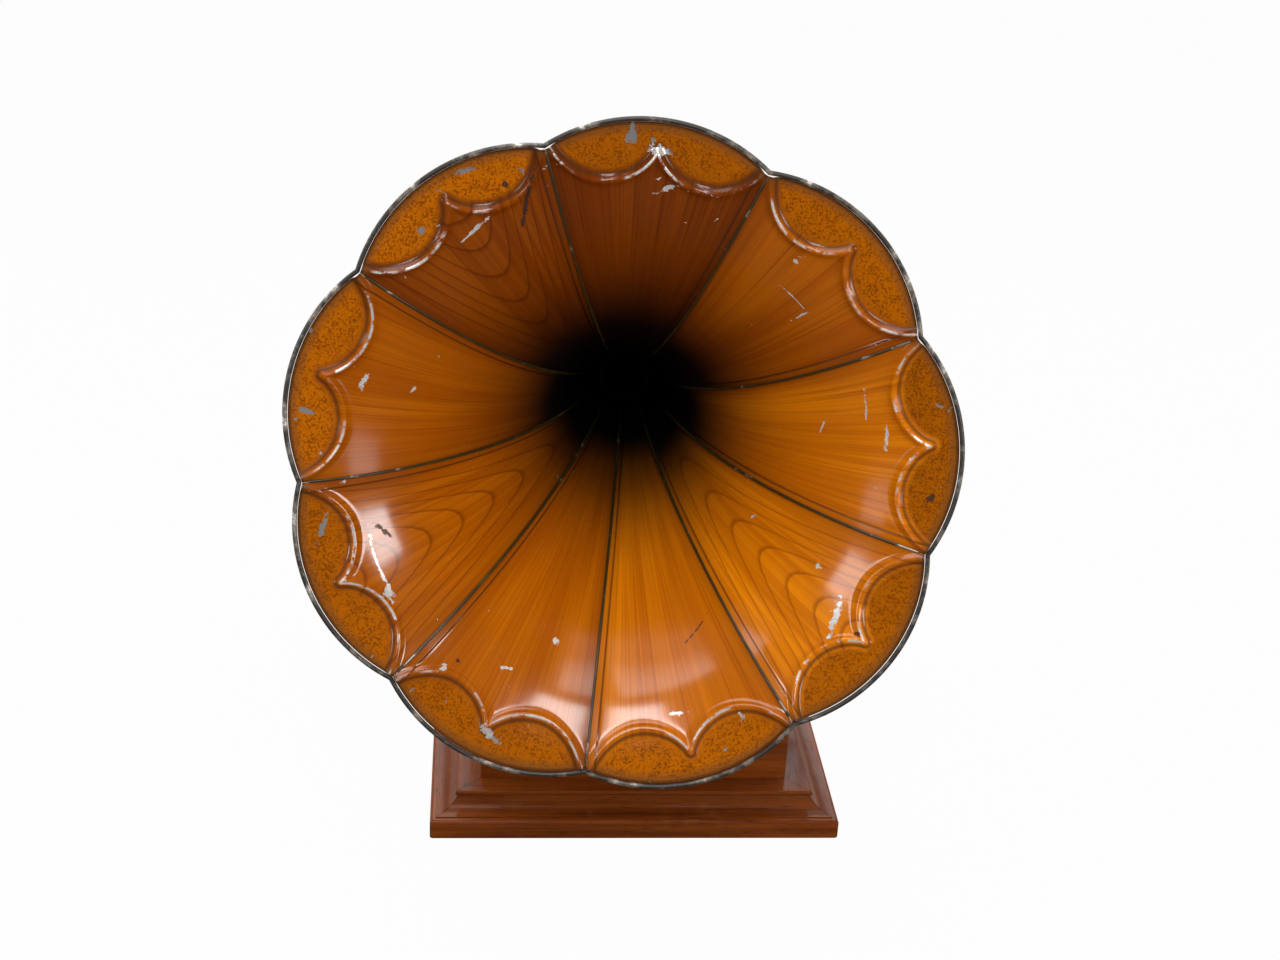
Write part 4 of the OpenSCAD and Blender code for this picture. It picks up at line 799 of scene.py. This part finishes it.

# Petal by petal: tone of the graining and of the panel, where the painted shade of the neck begins and
# ends, and the gloss
arched_petals = (4, 6, 9)
# The graining tones are partly painted shade and light: the upper petals, which face down, are darkest.
petal_tones_and_shade = (1.18, 0.77, 0.36, 0.45, 0.80, 0.78, 0.82, 1.11, 1.24)
# The panel tones are painted light and shade that even out how the lamps fall on each petal's panel.
panel_tones_and_light = (0.88, 1.20, 1.16, 1.52, 1.38, 1.14, 1.08, 1.20, 0.95)
neck_shade_from = (0.23, 0.28, 0.31, 0.29, 0.24, 0.17, 0.12, 0.13, 0.18)
neck_shade_to = (0.44, 0.47, 0.48, 0.48, 0.45, 0.41, 0.38, 0.38, 0.41)
petal_gloss = (0.08, 0.50, 0.50, 0.50, 0.03, 1.00, 0.90, 0.90, 0.75)
petal_looks = zip(petal_tones_and_shade, panel_tones_and_light, neck_shade_from, neck_shade_to, petal_gloss)
for k, look in enumerate(petal_looks, 1):
    paint = grained_tin(k, k in arched_petals, *look)
    petal = new_piece(f"petal_{k}", petal_sheet(k), paint, horn_back)
    wall = petal.modifiers.new("tin", "SOLIDIFY")
    wall.thickness, wall.offset = tin_t, -1
    wall.material_offset = wall.material_offset_rim = 1
    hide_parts(f"horn_petal_{k}")
    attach(petal, "horn")

# Seams: the edges of neighbouring petals are hooked, folded and hammered into a ridge.
# The ridge is lined in dark green paint, worn to the tin in places.

seam_w, seam_h, seam_back, seam_gap = 0.0026, 0.0014, 0.0018, 0.0002
seam_from, seam_share, seam_taper = 0.02, 0.965, 0.3
seam_ridge = bmesh.new()
reach = seam_ridge.verts.layers.float.new("reach")
for k in range(petals):
    about_axis = Matrix.Rotation(petal_turn + petal_half * (2 * k + 1), 4, "Z")
    for low, high in ((-seam_gap, -seam_gap - seam_h), (tin_t + seam_gap, tin_t + seam_gap + seam_back)):
        strip = bmesh.ops.create_grid(seam_ridge, x_segments=90, y_segments=8, size=1)["verts"]
        for v in strip:
            s = seam_from + seam_share * (1 - (1 - (v.co.x + 1) / 2)**1.5)
            v[reach] = s
            turned = pi * v.co.y
            r, t = trumpet(s, 1, low + (high - low) * (1 - cos(turned)) / 2)
            v.co = (r, -sin(turned) * seam_w * (1 - seam_taper * s) / 2, t)
        bmesh.ops.transform(seam_ridge, verts=strip, matrix=horn_place @ about_axis)
bmesh.ops.remove_doubles(seam_ridge, verts=seam_ridge.verts, dist=0.00001)
bmesh.ops.holes_fill(seam_ridge, edges=[e for e in seam_ridge.edges if e.is_boundary])
bmesh.ops.recalc_face_normals(seam_ridge, faces=seam_ridge.faces)

seam_paint, tree = new_finish("seam_paint")
place = object_place(tree)
worn = handled(tree, place, (0.036, 0.027, 0.007, 1), (0.09, 0.055, 0.012, 1), 0.8)
likely = ease(tree, attribute(tree, "reach"), 0.80, 0.97, 0.0, 0.13)
bare = ease(tree, plus(tree, noise(tree, place, 70.0, 5.0), likely), 0.64, 0.72)
surface(tree, bare, 0.0001, {
    "Base Color": mix(tree, bare, worn["Colour"], (0.34, 0.30, 0.24, 1)), "Roughness": 0.34,
    "Metallic": times(tree, bare, 0.6)})
seams = new_piece("seam_ridges", seam_ridge, seam_paint)
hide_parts("petal_seams")
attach(seams, "horn")

# Rim: the outer edge of the petals is rolled round an iron wire.
# Its paint is rubbed through to the tin nearly all the way round, and it is dark in the roll.

wire_r, wire_gap = 0.0017, 0.0003
per_petal, round_wire = 36, 12
wire = bmesh.new()
bmesh.ops.create_grid(wire, x_segments=petals * per_petal, y_segments=round_wire, size=1)
for v in wire.verts:
    around = (v.co.x + 1) / 2 * petals
    k = min(int(around), petals - 1)
    u = 2 * (around - k) - 1
    (r, t), (r_in, t_in) = trumpet(1, u, tin_t / 2), trumpet(0.995, u, tin_t / 2)
    step = (wire_r + wire_gap) / hypot(r - r_in, t - t_in)
    r, t = r + step * (r - r_in), t + step * (t - t_in)
    turned = pi * v.co.y
    angle = petal_turn + petal_half * (2 * k + u)
    r += wire_r * cos(turned)
    v.co = (r * cos(angle), r * sin(angle), t - wire_r * sin(turned))
bmesh.ops.remove_doubles(wire, verts=wire.verts, dist=0.00001)
bmesh.ops.recalc_face_normals(wire, faces=wire.faces)
wire.transform(horn_place)

rolled_rim, tree = new_finish("rolled_rim")
place = object_place(tree)
rub = noise(tree, place, 60.0, 6.0, 0.65)
tin_grey = mix(tree, ease(tree, rub, 0.46, 0.62), (0.030, 0.023, 0.017, 1), (0.20, 0.17, 0.14, 1))
tin_grey = mix(tree, ease(tree, rub, 0.59, 0.66), tin_grey, (0.72, 0.68, 0.60, 1))
bare = ease(tree, rub, 0.56, 0.68)
surface(tree, rub, 0.0002, {
    "Base Color": tin_grey, "Roughness": ease(tree, rub, 0.3, 0.7, 0.5, 0.3),
    "Metallic": times(tree, bare, 0.5)})
rim = new_piece("rolled_rim", wire, rolled_rim)
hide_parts("rim_wire")
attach(rim, "horn")
